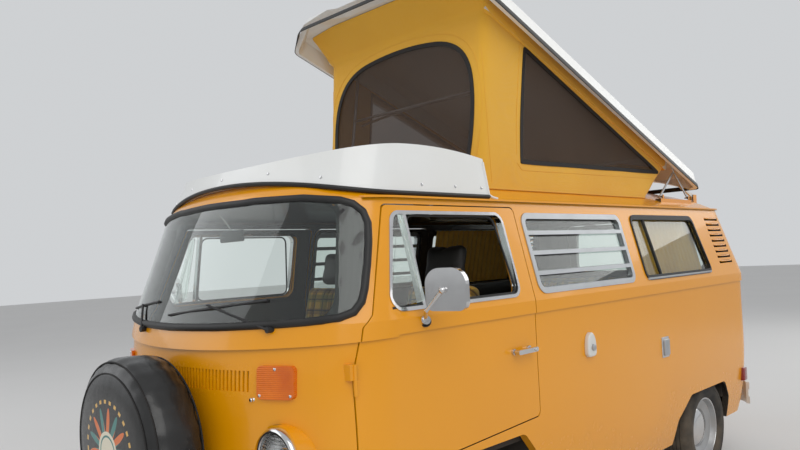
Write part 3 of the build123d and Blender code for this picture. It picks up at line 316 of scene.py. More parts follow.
def dense(points: Sequence[Point], step: float) -> list[Point]:
    """A closed outline with more points on it, about a step apart.

    Args:
        points: the outline.
        step: the distance between neighbours.

    Returns:
        The outline with its new points.
    """
    made: list[Point] = []
    for index, (ax, ay) in enumerate(points):
        bx, by = points[(index + 1) % len(points)]
        count = max(1, round(math.dist((ax, ay), (bx, by)) / step))
        made += [(ax + (bx - ax) * k / count, ay + (by - ay) * k / count) for k in range(count)]
    return made


def panel(name: str, points: Sequence[Vector]) -> bpy.types.Object:
    """One flat face with the outline of the points, shaped from a disc.

    Args:
        name: the piece's name.
        points: its outline, in the frame.

    Returns:
        The piece.
    """
    clear_selection()
    bpy.ops.mesh.primitive_circle_add(vertices=len(points), radius=1, fill_type="NGON", location=(0, 0, 0))
    piece = named(name)
    for vertex, place in zip(piece.data.vertices, points):
        vertex.co = place
    piece.data.update()
    return piece


def shifted(points: Sequence[Point], out: float) -> list[Point]:
    """An outline moved out along its own normals, or in where out is below zero.

    Args:
        points: the outline.
        out: how far it moves.

    Returns:
        The moved outline.
    """
    around = sum(a[0] * b[1] - b[0] * a[1] for a, b in zip(points, [*points[1:], points[0]]))
    out = math.copysign(out, out * around)
    moved = []
    for index, here in enumerate(points):
        before, after = points[index - 1], points[(index + 1) % len(points)]
        along = Vector((after[0] - before[0], after[1] - before[1])).normalized()
        moved.append((here[0] + out * along.y, here[1] - out * along.x))
    return moved


def banded(name: str, outer: Sequence[Vector], inner: Sequence[Vector], thick: float) -> bpy.types.Object:
    """A flat band between two rings of as many points.

    Args:
        name: the piece's name.
        outer: the outer ring.
        inner: the inner ring.
        thick: how thick it is.

    Returns:
        The piece.
    """
    rings = []
    for ring in (outer, inner):
        clear_selection()
        bpy.ops.mesh.primitive_circle_add(
            vertices=len(ring), radius=1, fill_type="NOTHING", location=(0, 0, 0)
        )
        rings.append(named(name))
        for vertex, place in zip(rings[-1].data.vertices, ring):
            vertex.co = place
    piece = joined(name, rings)
    with shaping(piece, "EDGE"):
        bpy.ops.mesh.select_all(action="SELECT")
        bpy.ops.mesh.bridge_edge_loops()
    modify(piece, "SOLIDIFY", thickness=thick, offset=0)
    return piece


def faced(piece: bpy.types.Object, middle: Vector) -> None:
    """Turns an open sheet's faces away from a point inside the van.

    Args:
        piece: the sheet.
        middle: the point.
    """
    lean = sum((face.center - middle).dot(face.normal) * face.area for face in piece.data.polygons)
    if lean < 0:
        piece.data.flip_normals()


def joined(name: str, pieces: Sequence[bpy.types.Object]) -> bpy.types.Object:
    """Joins meshes into one piece.

    Args:
        name: its name.
        pieces: the meshes.

    Returns:
        The piece.
    """
    take(pieces[0])
    for piece in pieces:
        piece.select_set(True)
    bpy.ops.object.join()
    return named(name)


def copied(piece: bpy.types.Object, name: str, move: Matrix) -> bpy.types.Object:
    """A copy of a piece with its own mesh, moved by a matrix.

    Args:
        piece: what is copied.
        name: the copy's name.
        move: where the copy goes.

    Returns:
        The copy.
    """
    take(piece)
    bpy.ops.object.duplicate(linked=False)
    copy = bpy.context.object
    copy.data.transform(move)
    if move.determinant() < 0:
        copy.data.flip_normals()
    return named(name)


ACROSS = Matrix.Scale(-1, 4, Vector((1, 0, 0)))


def touch(node: str, start: Vector, way: Vector) -> Vector:
    """Where a line from a point first meets a CAD piece.

    Args:
        node: the CAD piece.
        start: the line's start.
        way: its direction.

    Returns:
        The meeting point, or the start where there is none.
    """
    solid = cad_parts[node]
    into = solid.matrix_world.inverted()
    hit, place, _, _ = solid.ray_cast(into @ start, (into.to_3x3() @ way).normalized())
    return solid.matrix_world @ place if hit else start


def stuff(piece: bpy.types.Object, cap: float, voxel: float) -> None:
    """Remeshes a closed form and blows it up as cloth, no point further than a cap.

    Args:
        piece: the form, a little smaller than the cushion.
        cap: how far a point may move, in metres.
        voxel: the remesh size.
    """
    modify(piece, "REMESH", mode="VOXEL", voxel_size=voxel)
    scene = bpy.context.scene
    rest = [vertex.co.copy() for vertex in piece.data.vertices]
    cloth = piece.modifiers.new("fill", "CLOTH")
    cloth.settings.quality = 4
    cloth.settings.use_pressure = True
    cloth.settings.uniform_pressure_force = 4
    cloth.settings.effector_weights.gravity = 0
    cloth.point_cache.frame_start = 1
    cloth.point_cache.frame_end = 20
    for step in range(1, 21):
        scene.frame_set(step)
    take(piece)
    bpy.ops.object.modifier_apply(modifier="fill")
    for vertex, start in zip(piece.data.vertices, rest):
        moved = vertex.co - start
        if moved.length > cap:
            vertex.co = start + moved * (cap / moved.length)
    scene.frame_set(1)


# Finishes

class Pattern(Enum):
    """What a finish draws over its colour."""

    PLAIN = "plain"
    # the lined and shaded shell darkens the faces that look inwards: inner trim, and painted shade for the
    # dim inside of the van
    LINED_AND_SHADED_SHELL = "lined and shaded shell"
    WEAVE = "weave"
    PLAID = "plaid"
    GRAIN = "grain"
    BRUSHED = "brushed"
    LEATHER = "leather"
    FLUTES = "flutes"
    SUNBURST = "sunburst"
    SIDEWALL = "sidewall"
    LENS_ZONES = "lens zones"


def linear(red: int, green: int, blue: int) -> tuple[float, float, float, float]:
    """A screen colour, 0 to 255, as the renderer's linear colour.

    Args:
        red, green, blue: the screen colour's parts.

    Returns:
        The linear colour, opaque.
    """
    parts = [value / 255 for value in (red, green, blue)]
    parts = [p / 12.92 if p <= 0.04045 else ((p + 0.055) / 1.055) ** 2.4 for p in parts]
    return (*parts, 1.0)


class Sketch:
    """A node tree that is filled node by node."""

    def __init__(self, tree: bpy.types.NodeTree) -> None:
        """Keeps the tree and its shared object coordinates."""
        self.tree = tree
        self.coords = self.node("ShaderNodeTexCoord").outputs["Object"]

    def node(self, kind: str, inputs: dict | None = None, **settings: object) -> bpy.types.Node:
        """Adds a node.

        Args:
            kind: the node's type.
            inputs: values or sockets by input name or number.
            settings: its properties.

        Returns:
            The node.
        """
        made = self.tree.nodes.new(kind)
        for key, value in settings.items():
            setattr(made, key, value)
        for key, value in (inputs or {}).items():
            if isinstance(value, Socket):
                self.tree.links.new(value, made.inputs[key])
            else:
                made.inputs[key].default_value = value
        return made

    def math(self, operation: str, *values: object) -> Socket:
        """One sum of values or sockets."""
        return self.node("ShaderNodeMath", dict(enumerate(values)), operation=operation).outputs[0]

    def noise(self, scale: float, detail: float = 3, stretch: Sequence[float] = (1, 1, 1)) -> Socket:
        """Noise over the object, drawn out along its axes."""
        place = self.node("ShaderNodeMapping", {"Vector": self.coords, "Scale": tuple(stretch)}).outputs[0]
        return self.node(
            "ShaderNodeTexNoise", {"Vector": place, "Scale": scale, "Detail": detail, "Roughness": 0.55}
        ).outputs["Fac"]

    def ramp(self, value: Socket, low: float, high: float) -> Socket:
        """Carries a value from 0 at one bound to 1 at the other, and clamps it."""
        return self.node(
            "ShaderNodeMapRange", {"Value": value, "From Min": low, "From Max": high}, clamp=True
        ).outputs["Result"]

    def mix(self, share: object, first: object, second: object, blend: str = "MIX") -> Socket:
        """Mixes two colours by a share.

        Args:
            share: how much of the second shows.
            first: the first colour.
            second: the second colour.
            blend: how they are mixed.

        Returns:
            The mixed colour.
        """
        made = self.node("ShaderNodeMix", data_type="RGBA", blend_type=blend)
        for number, value in ((0, share), (6, first), (7, second)):
            if isinstance(value, Socket):
                self.tree.links.new(value, made.inputs[number])
            else:
                made.inputs[number].default_value = value
        return made.outputs[2]

    def axes(self) -> tuple[Socket, Socket, Socket]:
        """The object's x, y and z."""
        parts = self.node("ShaderNodeSeparateXYZ", {"Vector": self.coords}).outputs
        return parts[0], parts[1], parts[2]


def shared_group(
    name: str, inputs: Sequence[str], outputs: Sequence[tuple[str, str]]
) -> tuple[bpy.types.NodeTree, Sketch]:
    """Starts a node group with float inputs and named outputs.

    Args:
        name: the group's name.
        inputs: names of its float inputs.
        outputs: names and socket types of its outputs.

    Returns:
        The group and a sketch to fill it with.
    """
    tree = bpy.data.node_groups.new(name, "ShaderNodeTree")
    for word in inputs:
        tree.interface.new_socket(word, in_out="INPUT", socket_type="NodeSocketFloat")
    for word, kind in outputs:
        tree.interface.new_socket(word, in_out="OUTPUT", socket_type=kind)
    return tree, Sketch(tree)


def weathering_group() -> bpy.types.NodeTree:
    """Masks that every finish shares: slow tone drift, fine specks, and road dust near the ground."""
    tree, sketch = shared_group(
        "weathering", ["Scale"],
        [("Drift", "NodeSocketFloat"), ("Specks", "NodeSocketFloat"), ("Dust", "NodeSocketFloat")],
    )
    entry = sketch.node("NodeGroupInput")
    drift = sketch.node(
        "ShaderNodeTexNoise", {"Vector": sketch.coords, "Scale": entry.outputs["Scale"], "Detail": 4.0}
    )
    fine = sketch.math("MULTIPLY", entry.outputs["Scale"], 18.0)
    specks = sketch.node("ShaderNodeTexNoise", {"Vector": sketch.coords, "Scale": fine, "Detail": 2.0})
    _, _, height = sketch.axes()
    low = sketch.ramp(height, 0.75, 0.25)
    dust = sketch.math("MULTIPLY", low, sketch.ramp(drift.outputs["Fac"], 0.35, 0.75))
    sketch.node("NodeGroupOutput", {
        "Drift": sketch.ramp(drift.outputs["Fac"], 0.3, 0.7),
        "Specks": sketch.ramp(specks.outputs["Fac"], 0.35, 0.65), "Dust": dust,
    })
    return tree


def relief_group() -> bpy.types.NodeTree:
    """A fine raised surface, as a normal."""
    tree, sketch = shared_group("relief", ["Height", "Depth"], [("Normal", "NodeSocketVector")])
    entry = sketch.node("NodeGroupInput")
    bump = sketch.node(
        "ShaderNodeBump",
        {"Height": entry.outputs["Height"], "Distance": entry.outputs["Depth"], "Strength": 1.0},
    )
    sketch.node("NodeGroupOutput", {"Normal": bump.outputs["Normal"]})
    return tree


GROUPS = {"weathering": weathering_group(), "relief": relief_group()}


@dataclass(frozen=True)
class Finish:
    """One surface, from its colours to its gloss and its relief."""

    name: str
    slot: str
    colour: tuple[int, int, int]
    worn: tuple[int, int, int]
    drift: float = 3.0
    drift_share: float = 0.35
    dust_share: float = 0.15
    rough: float = 0.5
    rough_spread: float = 0.08
    grain: float = 300.0
    depth: float = 0.0002
    metallic: float = 0.0
    coat: float = 0.0
    sheen: float = 0.0
    transmission: float = 0.0
    alpha: float = 1.0
    ior: float = 1.5
    pattern: Pattern = Pattern.PLAIN

    def material(self) -> bpy.types.Material:
        """The finish's material, made once."""
        if self in MATERIALS:
            return MATERIALS[self]
        made = bpy.data.materials.new(self.name)
        MATERIALS[self] = made
        made.use_nodes = True
        shader = made.node_tree.nodes["Principled BSDF"]
        sketch = Sketch(made.node_tree)
        masks = sketch.node("ShaderNodeGroup", node_tree=GROUPS["weathering"])
        masks.inputs["Scale"].default_value = self.drift
        share = sketch.math("MULTIPLY", masks.outputs["Drift"], self.drift_share)
        colour = sketch.mix(share, linear(*self.colour), linear(*self.worn))
        height = sketch.noise(self.grain, 2)
        colour, height = self.drawn(sketch, colour, height)
        dust = sketch.math("MULTIPLY", masks.outputs["Dust"], self.dust_share)
        colour = sketch.mix(dust, colour, linear(150, 135, 115))
        spread = sketch.math("MULTIPLY", masks.outputs["Specks"], self.rough_spread)
        dusty = sketch.math("MULTIPLY", dust, 0.5)
        rough = sketch.math("ADD", sketch.math("ADD", spread, self.rough), dusty)
        relief = sketch.node("ShaderNodeGroup", {"Height": height}, node_tree=GROUPS["relief"])
        relief.inputs["Depth"].default_value = self.depth
        links = made.node_tree.links
        links.new(colour, shader.inputs["Base Color"])
        links.new(rough, shader.inputs["Roughness"])
        links.new(relief.outputs["Normal"], shader.inputs["Normal"])
        for socket, value in (
            ("Metallic", self.metallic), ("Coat Weight", self.coat), ("Coat Roughness", 0.04),
            ("Sheen Weight", self.sheen), ("Transmission Weight", self.transmission),
            ("Alpha", self.alpha), ("IOR", self.ior),
        ):
            shader.inputs[socket].default_value = value
        return made

    def drawn(self, sketch: Sketch, colour: Socket, height: Socket) -> Look:
        """Draws the finish's pattern.

        Args:
            sketch: the material's tree.
            colour: the colour so far.
            height: the relief so far.

        Returns:
            The colour and the relief with the pattern.
        """
        draw = {
            Pattern.LINED_AND_SHADED_SHELL: self.lined_and_shaded_shell, Pattern.WEAVE: self.weave, Pattern.PLAID: self.plaid,
            Pattern.GRAIN: self.wood_grain, Pattern.BRUSHED: self.brushed, Pattern.LEATHER: self.leather,
            Pattern.FLUTES: self.flutes, Pattern.SUNBURST: self.sunburst, Pattern.SIDEWALL: self.sidewall,
            Pattern.LENS_ZONES: self.lens_zones,
        }.get(self.pattern)
        return draw(sketch, colour, height) if draw else (colour, height)

    def lined_and_shaded_shell(self, sketch: Sketch, colour: Socket, height: Socket) -> Look:
        """Paint outside, and on the faces that look inwards a dark lining that stands for the inner trim and
        is painted shade for the dim inside of the van.
        """
        normal = sketch.node("ShaderNodeNewGeometry").outputs["Normal"]
        from_middle = sketch.node(
            "ShaderNodeMapping",
            {"Vector": sketch.coords, "Location": (0, 0, -1.05), "Scale": (1.3, 0.52, 1.0)},
        ).outputs[0]
        facing = sketch.node("ShaderNodeVectorMath", {0: normal, 1: from_middle}, operation="DOT_PRODUCT")
        # painted shade: faces that look inwards turn dark, for the inner trim and the dim inside of the van
        lining_and_shade = sketch.ramp(facing.outputs["Value"], -0.05, -0.15)
        return sketch.mix(lining_and_shade, colour, linear(52, 47, 42)), height

    def weave(self, sketch: Sketch, colour: Socket, height: Socket) -> Look:
        """Crossed threads, with broad soft creases in the cloth."""
        threads = []
        for axis in ("X", "Y", "Z"):
            wave = sketch.node(
                "ShaderNodeTexWave", {"Vector": sketch.coords, "Scale": self.grain, "Distortion": 0.4},
                bands_direction=axis,
            )
            threads.append(wave.outputs["Fac"])
        cross = sketch.math("MULTIPLY", sketch.math("ADD", threads[0], threads[1]), threads[2])
        creases = sketch.noise(5.0, 2, (1, 1, 0.55))
        shade = sketch.math("MULTIPLY", cross, 0.08)
        colour = sketch.mix(shade, colour, linear(*self.worn))
        return colour, sketch.math("ADD", sketch.math("MULTIPLY", cross, 0.02), creases)

    def stripes(self, sketch: Sketch, along: Socket, width: float, share: float, shift: float) -> Socket:
        """Bands of a share of a width along one direction, as 0 or 1."""
        turn = sketch.math("FRACT", sketch.math("ADD", sketch.math("DIVIDE", along, width), shift))
        return sketch.math("LESS_THAN", turn, share)

    def plaid(self, sketch: Sketch, colour: Socket, height: Socket) -> Look:
        """A common plaid: broad green and brown bands with thin black lines, both ways."""
        x, y, z = sketch.axes()
        up = sketch.math("ADD", z, sketch.math("MULTIPLY", y, 0.85))
        for along in (x, up):
            for tone, width, share, shift, strength in (
                ((78, 92, 40), 0.15, 0.34, 0.0, 0.55), ((96, 58, 26), 0.15, 0.26, 0.55, 0.6),
                ((18, 16, 14), 0.15, 0.06, 0.4, 0.85), ((18, 16, 14), 0.15, 0.05, 0.9, 0.85),
            ):
                bands = sketch.math("MULTIPLY", self.stripes(sketch, along, width, share, shift), strength)
                colour = sketch.mix(bands, colour, linear(*tone))
        return self.weave(sketch, colour, height)

    def wood_grain(self, sketch: Sketch, colour: Socket, height: Socket) -> Look:
        """Long upright grain of a veneer."""
        grain = sketch.noise(26.0, 6, (6, 6, 0.35))
        return sketch.mix(sketch.ramp(grain, 0.35, 0.7), colour, linear(*self.worn)), grain

    def brushed(self, sketch: Sketch, colour: Socket, height: Socket) -> Look:
        """Fine scratches drawn out along y."""
        lines = sketch.noise(self.grain, 4, (1, 0.03, 1))
        return sketch.mix(sketch.math("MULTIPLY", lines, 0.35), colour, linear(*self.worn)), lines

    def leather(self, sketch: Sketch, colour: Socket, height: Socket) -> Look:
        """Pebbled grain with soft folds under it."""
        cells = sketch.node(
            "ShaderNodeTexVoronoi", {"Vector": sketch.coords, "Scale": self.grain}, feature="F1"
        ).outputs["Distance"]
        folds = sketch.noise(7.0, 2)
        both = sketch.math("ADD", sketch.math("MULTIPLY", cells, 0.12), sketch.math("MULTIPLY", folds, 5.0))
        return colour, both

    def flutes(self, sketch: Sketch, colour: Socket, height: Socket) -> Look:
        """Moulded ribs across a lens."""
        _, _, z = sketch.axes()
        ribs = sketch.math("SINE", sketch.math("MULTIPLY", z, self.grain))
        shade = sketch.math("MULTIPLY", sketch.ramp(ribs, -1, 1), 0.25)
        return sketch.mix(shade, colour, linear(*self.worn)), ribs

    def sidewall(self, sketch: Sketch, colour: Socket, height: Socket) -> Look:
        """Rubber with faint scuffs; its ribs are in the mesh."""
        scuffs = sketch.noise(40.0, 5)
        return sketch.mix(sketch.ramp(scuffs, 0.5, 0.8), colour, linear(*self.worn)), height

    def lens_zones(self, sketch: Sketch, colour: Socket, height: Socket) -> Look:
        """A rear lamp's amber top, red middle and clear foot, ribbed across."""
        _, _, z = sketch.axes()
        colour = sketch.mix(sketch.math("GREATER_THAN", z, 0.775), colour, linear(214, 110, 20))
        colour = sketch.mix(sketch.math("LESS_THAN", z, 0.662), colour, linear(226, 220, 210))
        return self.flutes(sketch, colour, height)

    def sunburst(self, sketch: Sketch, colour: Socket, height: Socket) -> Look:
        """A plain painted sunburst on the cover's face: rays, a ring of dots and a pale disc."""
        x, y, z = sketch.axes()
        up = sketch.math("SUBTRACT", z, SPARE_HEIGHT)
        squares = sketch.math("ADD", sketch.math("MULTIPLY", x, x), sketch.math("MULTIPLY", up, up))
        out = sketch.math("SQRT", squares)
        angle = sketch.math("ARCTAN2", up, x)
        face = sketch.math("LESS_THAN", y, SPARE_FACE)

        def ring(low: float, high: float) -> Socket:
            """1 between two radii."""
            beyond, within = sketch.math("GREATER_THAN", out, low), sketch.math("LESS_THAN", out, high)
            return sketch.math("MULTIPLY", beyond, within)

        def painted(base: Socket, mask: Socket, tone: tuple[int, int, int]) -> Socket:
            """One tone laid over the face."""
            return sketch.mix(sketch.math("MULTIPLY", mask, face), base, linear(*tone))

        rays = sketch.math("SINE", sketch.math("MULTIPLY", angle, 14.0))
        reach = sketch.math("ADD", 0.118, sketch.math("MULTIPLY", rays, 0.05))
        beyond_disc = sketch.math("GREATER_THAN", out, 0.07)
        ray_mask = sketch.math("MULTIPLY", sketch.math("LESS_THAN", out, reach), beyond_disc)
        halves = sketch.math("GREATER_THAN", sketch.math("SINE", sketch.math("MULTIPLY", angle, 7.0)), 0.0)
        beads = sketch.math("GREATER_THAN", sketch.math("SINE", sketch.math("MULTIPLY", angle, 28.0)), 0.2)
        dots = sketch.math("MULTIPLY", beads, ring(0.182, 0.196))
        colour = painted(colour, ray_mask, (222, 112, 44))
        colour = painted(colour, sketch.math("MULTIPLY", ray_mask, halves), (66, 128, 122))
        colour = painted(colour, dots, (222, 176, 90))
        colour = painted(colour, ring(0.0, 0.078), (226, 218, 196))
        colour = painted(colour, ring(0.056, 0.064), (66, 128, 122))
        return self.leather(sketch, colour, height)


MATERIALS: dict[Finish, bpy.types.Material] = {}
SPARE_HEIGHT = 0.862
SPARE_FACE = -2.2

# the body's inward faces get a dark lining that is partly painted shade of the van's inside
BODY = Finish(
    "body_yellow", "body_paint", (240, 160, 2), (226, 146, 1), drift=1.4, drift_share=0.25, rough=0.22,
    rough_spread=0.05, grain=60, depth=0.00012, coat=0.35, pattern=Pattern.LINED_AND_SHADED_SHELL,
)
BODY_PLAIN = Finish(
    "body_yellow_fittings", "body_paint", (240, 160, 2), (222, 142, 1), drift=3, rough=0.22, grain=60,
    depth=0.0001, coat=0.35,
)
FIBREGLASS = Finish(
    "white_fibreglass_shell", "white_fibreglass", (232, 234, 233), (214, 212, 204), drift=2.2, rough=0.3,
    grain=90, depth=0.0002, coat=0.5, dust_share=0.0,
)
WHITE_PAINT = Finish(
    "white_bumper_paint", "white_paint", (226, 227, 225), (200, 196, 186), drift=5, rough=0.28, grain=80,
    coat=0.6,
)
CHROME = Finish(
    "polished_chrome", "chrome", (214, 214, 214), (180, 180, 182), drift=14, rough=0.07, rough_spread=0.1,
    metallic=1, grain=200, depth=0.00002, dust_share=0.05,
)
ALLOY = Finish(
    "brushed_alloy", "alloy", (196, 199, 202), (150, 152, 154), drift=8, rough=0.32, grain=900, depth=0.00005,
    metallic=0.85, pattern=Pattern.BRUSHED,
)
GLASS = Finish(
    "window_glass", "glass", (236, 244, 240), (226, 238, 232), drift=2, drift_share=0.3, dust_share=0.0,
    rough=0.0, rough_spread=0.01, grain=3, depth=0.00002, transmission=1.0, ior=1.45,
)
LAMP_GLASS = Finish(
    "lamp_glass", "lamp_glass", (244, 246, 246), (230, 232, 232), dust_share=0.0, rough=0.03, grain=520,
    depth=0.0008, transmission=1.0, ior=1.45, pattern=Pattern.FLUTES,
)
RUBBER = Finish(
    "seal_rubber", "seal_rubber", (22, 22, 22), (44, 43, 42), drift=9, rough=0.48, grain=500, depth=0.00015,
)
TYRE = Finish(
    "tyre_rubber", "tyre_rubber", (26, 26, 26), (52, 50, 47), drift=6, rough=0.72, grain=260, depth=0.0004,
    dust_share=0.5, pattern=Pattern.SIDEWALL,
)
WHEEL = Finish(
    "wheel_silver", "wheel_paint", (176, 178, 180), (140, 140, 138), drift=8, rough=0.34, grain=120,
    metallic=0.5, coat=0.3, dust_share=0.3,
)
CHASSIS = Finish(
    "chassis_black", "dark_steel", (30, 29, 28), (64, 52, 42), drift=5, drift_share=0.6, rough=0.65,
    grain=120, depth=0.0006, dust_share=0.6,
)
CASTING = Finish(
    "cast_casing", "cast_metal", (104, 104, 102), (70, 62, 54), drift=6, drift_share=0.6, rough=0.55,
    grain=160, depth=0.0006, metallic=0.6, dust_share=0.5,
)
AMBER = Finish(
    "amber_lens", "amber_lens", (244, 128, 0), (206, 88, 0), drift=9, drift_share=0.8, rough=0.16, grain=900,
    depth=0.0006, coat=0.2, dust_share=0.0, pattern=Pattern.FLUTES,
)
REAR_LENS = Finish(
    "rear_lens", "red_lens", (176, 18, 14), (120, 8, 8), drift=12, rough=0.14, grain=700, depth=0.0006,
    coat=0.8, dust_share=0.0, pattern=Pattern.LENS_ZONES,
)
RED_LENS = Finish(
    "side_red_lens", "red_lens", (150, 20, 22), (110, 8, 10), drift=12, rough=0.14, grain=900, depth=0.0005,
    coat=0.8, dust_share=0.0, pattern=Pattern.FLUTES,
)
PLASTIC = Finish(
    "black_plastic", "dark_plastic", (30, 30, 31), (48, 47, 46), drift=10, rough=0.5, grain=420, depth=0.0002,
)
DIAL = Finish(
    "dial_face", "dark_plastic", (20, 20, 20), (60, 60, 58), drift=60, rough=0.3, grain=300, depth=0.00005,
)
SEAT = Finish(
    "plaid_seat_cloth", "seat_cloth", (206, 160, 52), (170, 126, 40), drift=8, rough=0.85, grain=420,
    depth=0.0004, sheen=0.25, dust_share=0.0, pattern=Pattern.PLAID,
)
HEAD_REST = Finish(
    "head_rest_vinyl", "seat_cloth", (34, 31, 29), (58, 52, 46), drift=8, rough=0.5, grain=500, depth=0.0004,
    dust_share=0.0, pattern=Pattern.LEATHER,
)
CURTAIN = Finish(
    "curtain_cloth", "curtain_cloth", (214, 166, 62), (184, 132, 40), drift=5, rough=0.85, grain=500,
    depth=0.0006, sheen=0.3, dust_share=0.0, pattern=Pattern.WEAVE,
)
CANVAS = Finish(
    "tent_canvas", "tent_canvas", (238, 182, 56), (222, 160, 42), drift=1.6, drift_share=0.45, rough=0.82,
    grain=380, depth=0.006, sheen=0.2, dust_share=0.0, pattern=Pattern.WEAVE,
)
MESH = Finish(
    "insect_mesh", "tent_canvas", (74, 58, 46), (52, 42, 36), drift=3, rough=0.8, grain=900, depth=0.003,
    alpha=0.74, dust_share=0.0, pattern=Pattern.WEAVE,
)
PIPING = Finish(
    "black_piping", "tent_canvas", (20, 19, 19), (42, 38, 36), drift=12, rough=0.7, grain=700, depth=0.0004,
    dust_share=0.0, pattern=Pattern.WEAVE,
)
COVER = Finish(
    "cover_vinyl", "cover_vinyl", (18, 18, 18), (38, 37, 36), drift=5, rough=0.3, grain=380, depth=0.0012,
    coat=0.25, dust_share=0.1, pattern=Pattern.SUNBURST,
)
VENEER = Finish(
    "cabinet_veneer", "cabinet_wood", (170, 128, 82), (124, 86, 50), drift=3, rough=0.42, grain=120,
    depth=0.0003, dust_share=0.0, pattern=Pattern.GRAIN,
)
FLOOR_LINING = Finish(
    "floor_lining", "floor_paint", (46, 43, 40), (66, 58, 50), drift=4, rough=0.8, grain=300, depth=0.0008,
    dust_share=0.4,
)

NODE_FINISHES: dict[Finish, tuple[str, ...]] = {
    BODY: (
        "nose_panel", "side_panel_left", "side_panel_right", "tail_panel", "roof_panel", "sliding_door",
        "door_left", "door_right", "tailgate", "engine_lid",
    ),
    BODY_PLAIN: ("fresh_air_grille",),
    FIBREGLASS: ("luggage_tray", "pop_top_lid"),
    WHITE_PAINT: ("front_bumper", "rear_bumper", "side_inlets"),
    CHROME: ("door_fittings_left", "door_fittings_right"),
    ALLOY: ("jalousie_frames", "lift_bail", "lid_stays_front", "lid_stays_rear"),
    GLASS: ("windscreen", "side_glass", "quarter_light_left", "quarter_light_right", "tailgate_glass"),
    LAMP_GLASS: ("headlamps",),
    RUBBER: ("window_seals",),
    TYRE: ("tyre_front_left", "tyre_front_right", "tyre_rear_left", "tyre_rear_right"),
    WHEEL: ("wheel_front_left", "wheel_front_right", "wheel_rear_left", "wheel_rear_right"),
    CHASSIS: ("chassis_frame", "front_axle", "silencer", "spare_carrier"),
    CASTING: ("rear_axle", "engine_block", "knuckle_left", "knuckle_right"),
    AMBER: ("turn_signals",),
    REAR_LENS: ("tail_lamps",),
    PLASTIC: ("dashboard", "steering_column", "steering_wheel", "wipers"),
    SEAT: ("front_seats", "rear_bench"),
    CURTAIN: ("curtains",),
    CANVAS: ("canvas",),
    COVER: ("spare_cover",),
    VENEER: ("galley_cabinet",),
    FLOOR_LINING: ("floor_pan", "sills", "wheel_boxes"),
}


def settle(
    piece: bpy.types.Object, body: str, finish: Finish, smooth: float = 40, replaces: Sequence[str] = ()
) -> bpy.types.Object:
    """Gives a finished piece its shading, finish and body.

    Args:
        piece: the piece.
        body: the CAD body that it rides on.
        finish: its surface.
        smooth: edges sharper than this many degrees stay sharp.
        replaces: the CAD pieces that it stands for.

    Returns:
        The piece.
    """
    take(piece)
    bpy.ops.object.shade_smooth_by_angle(angle=math.radians(smooth))
    piece.data.materials.clear()
    piece.data.materials.append(finish.material())
    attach(piece, body)
    if replaces:
        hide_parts(*replaces)
    LOG.info("%s on %s: %d faces", piece.name, body, len(piece.data.polygons))
    return piece


def dress_frame() -> None:
    """Gives every CAD piece its finish."""
    for finish, nodes in NODE_FINISHES.items():
        for node in nodes:
            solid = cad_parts[node]
            solid.data.materials.clear()
            solid.data.materials.append(finish.material())


# Sub-assemblies

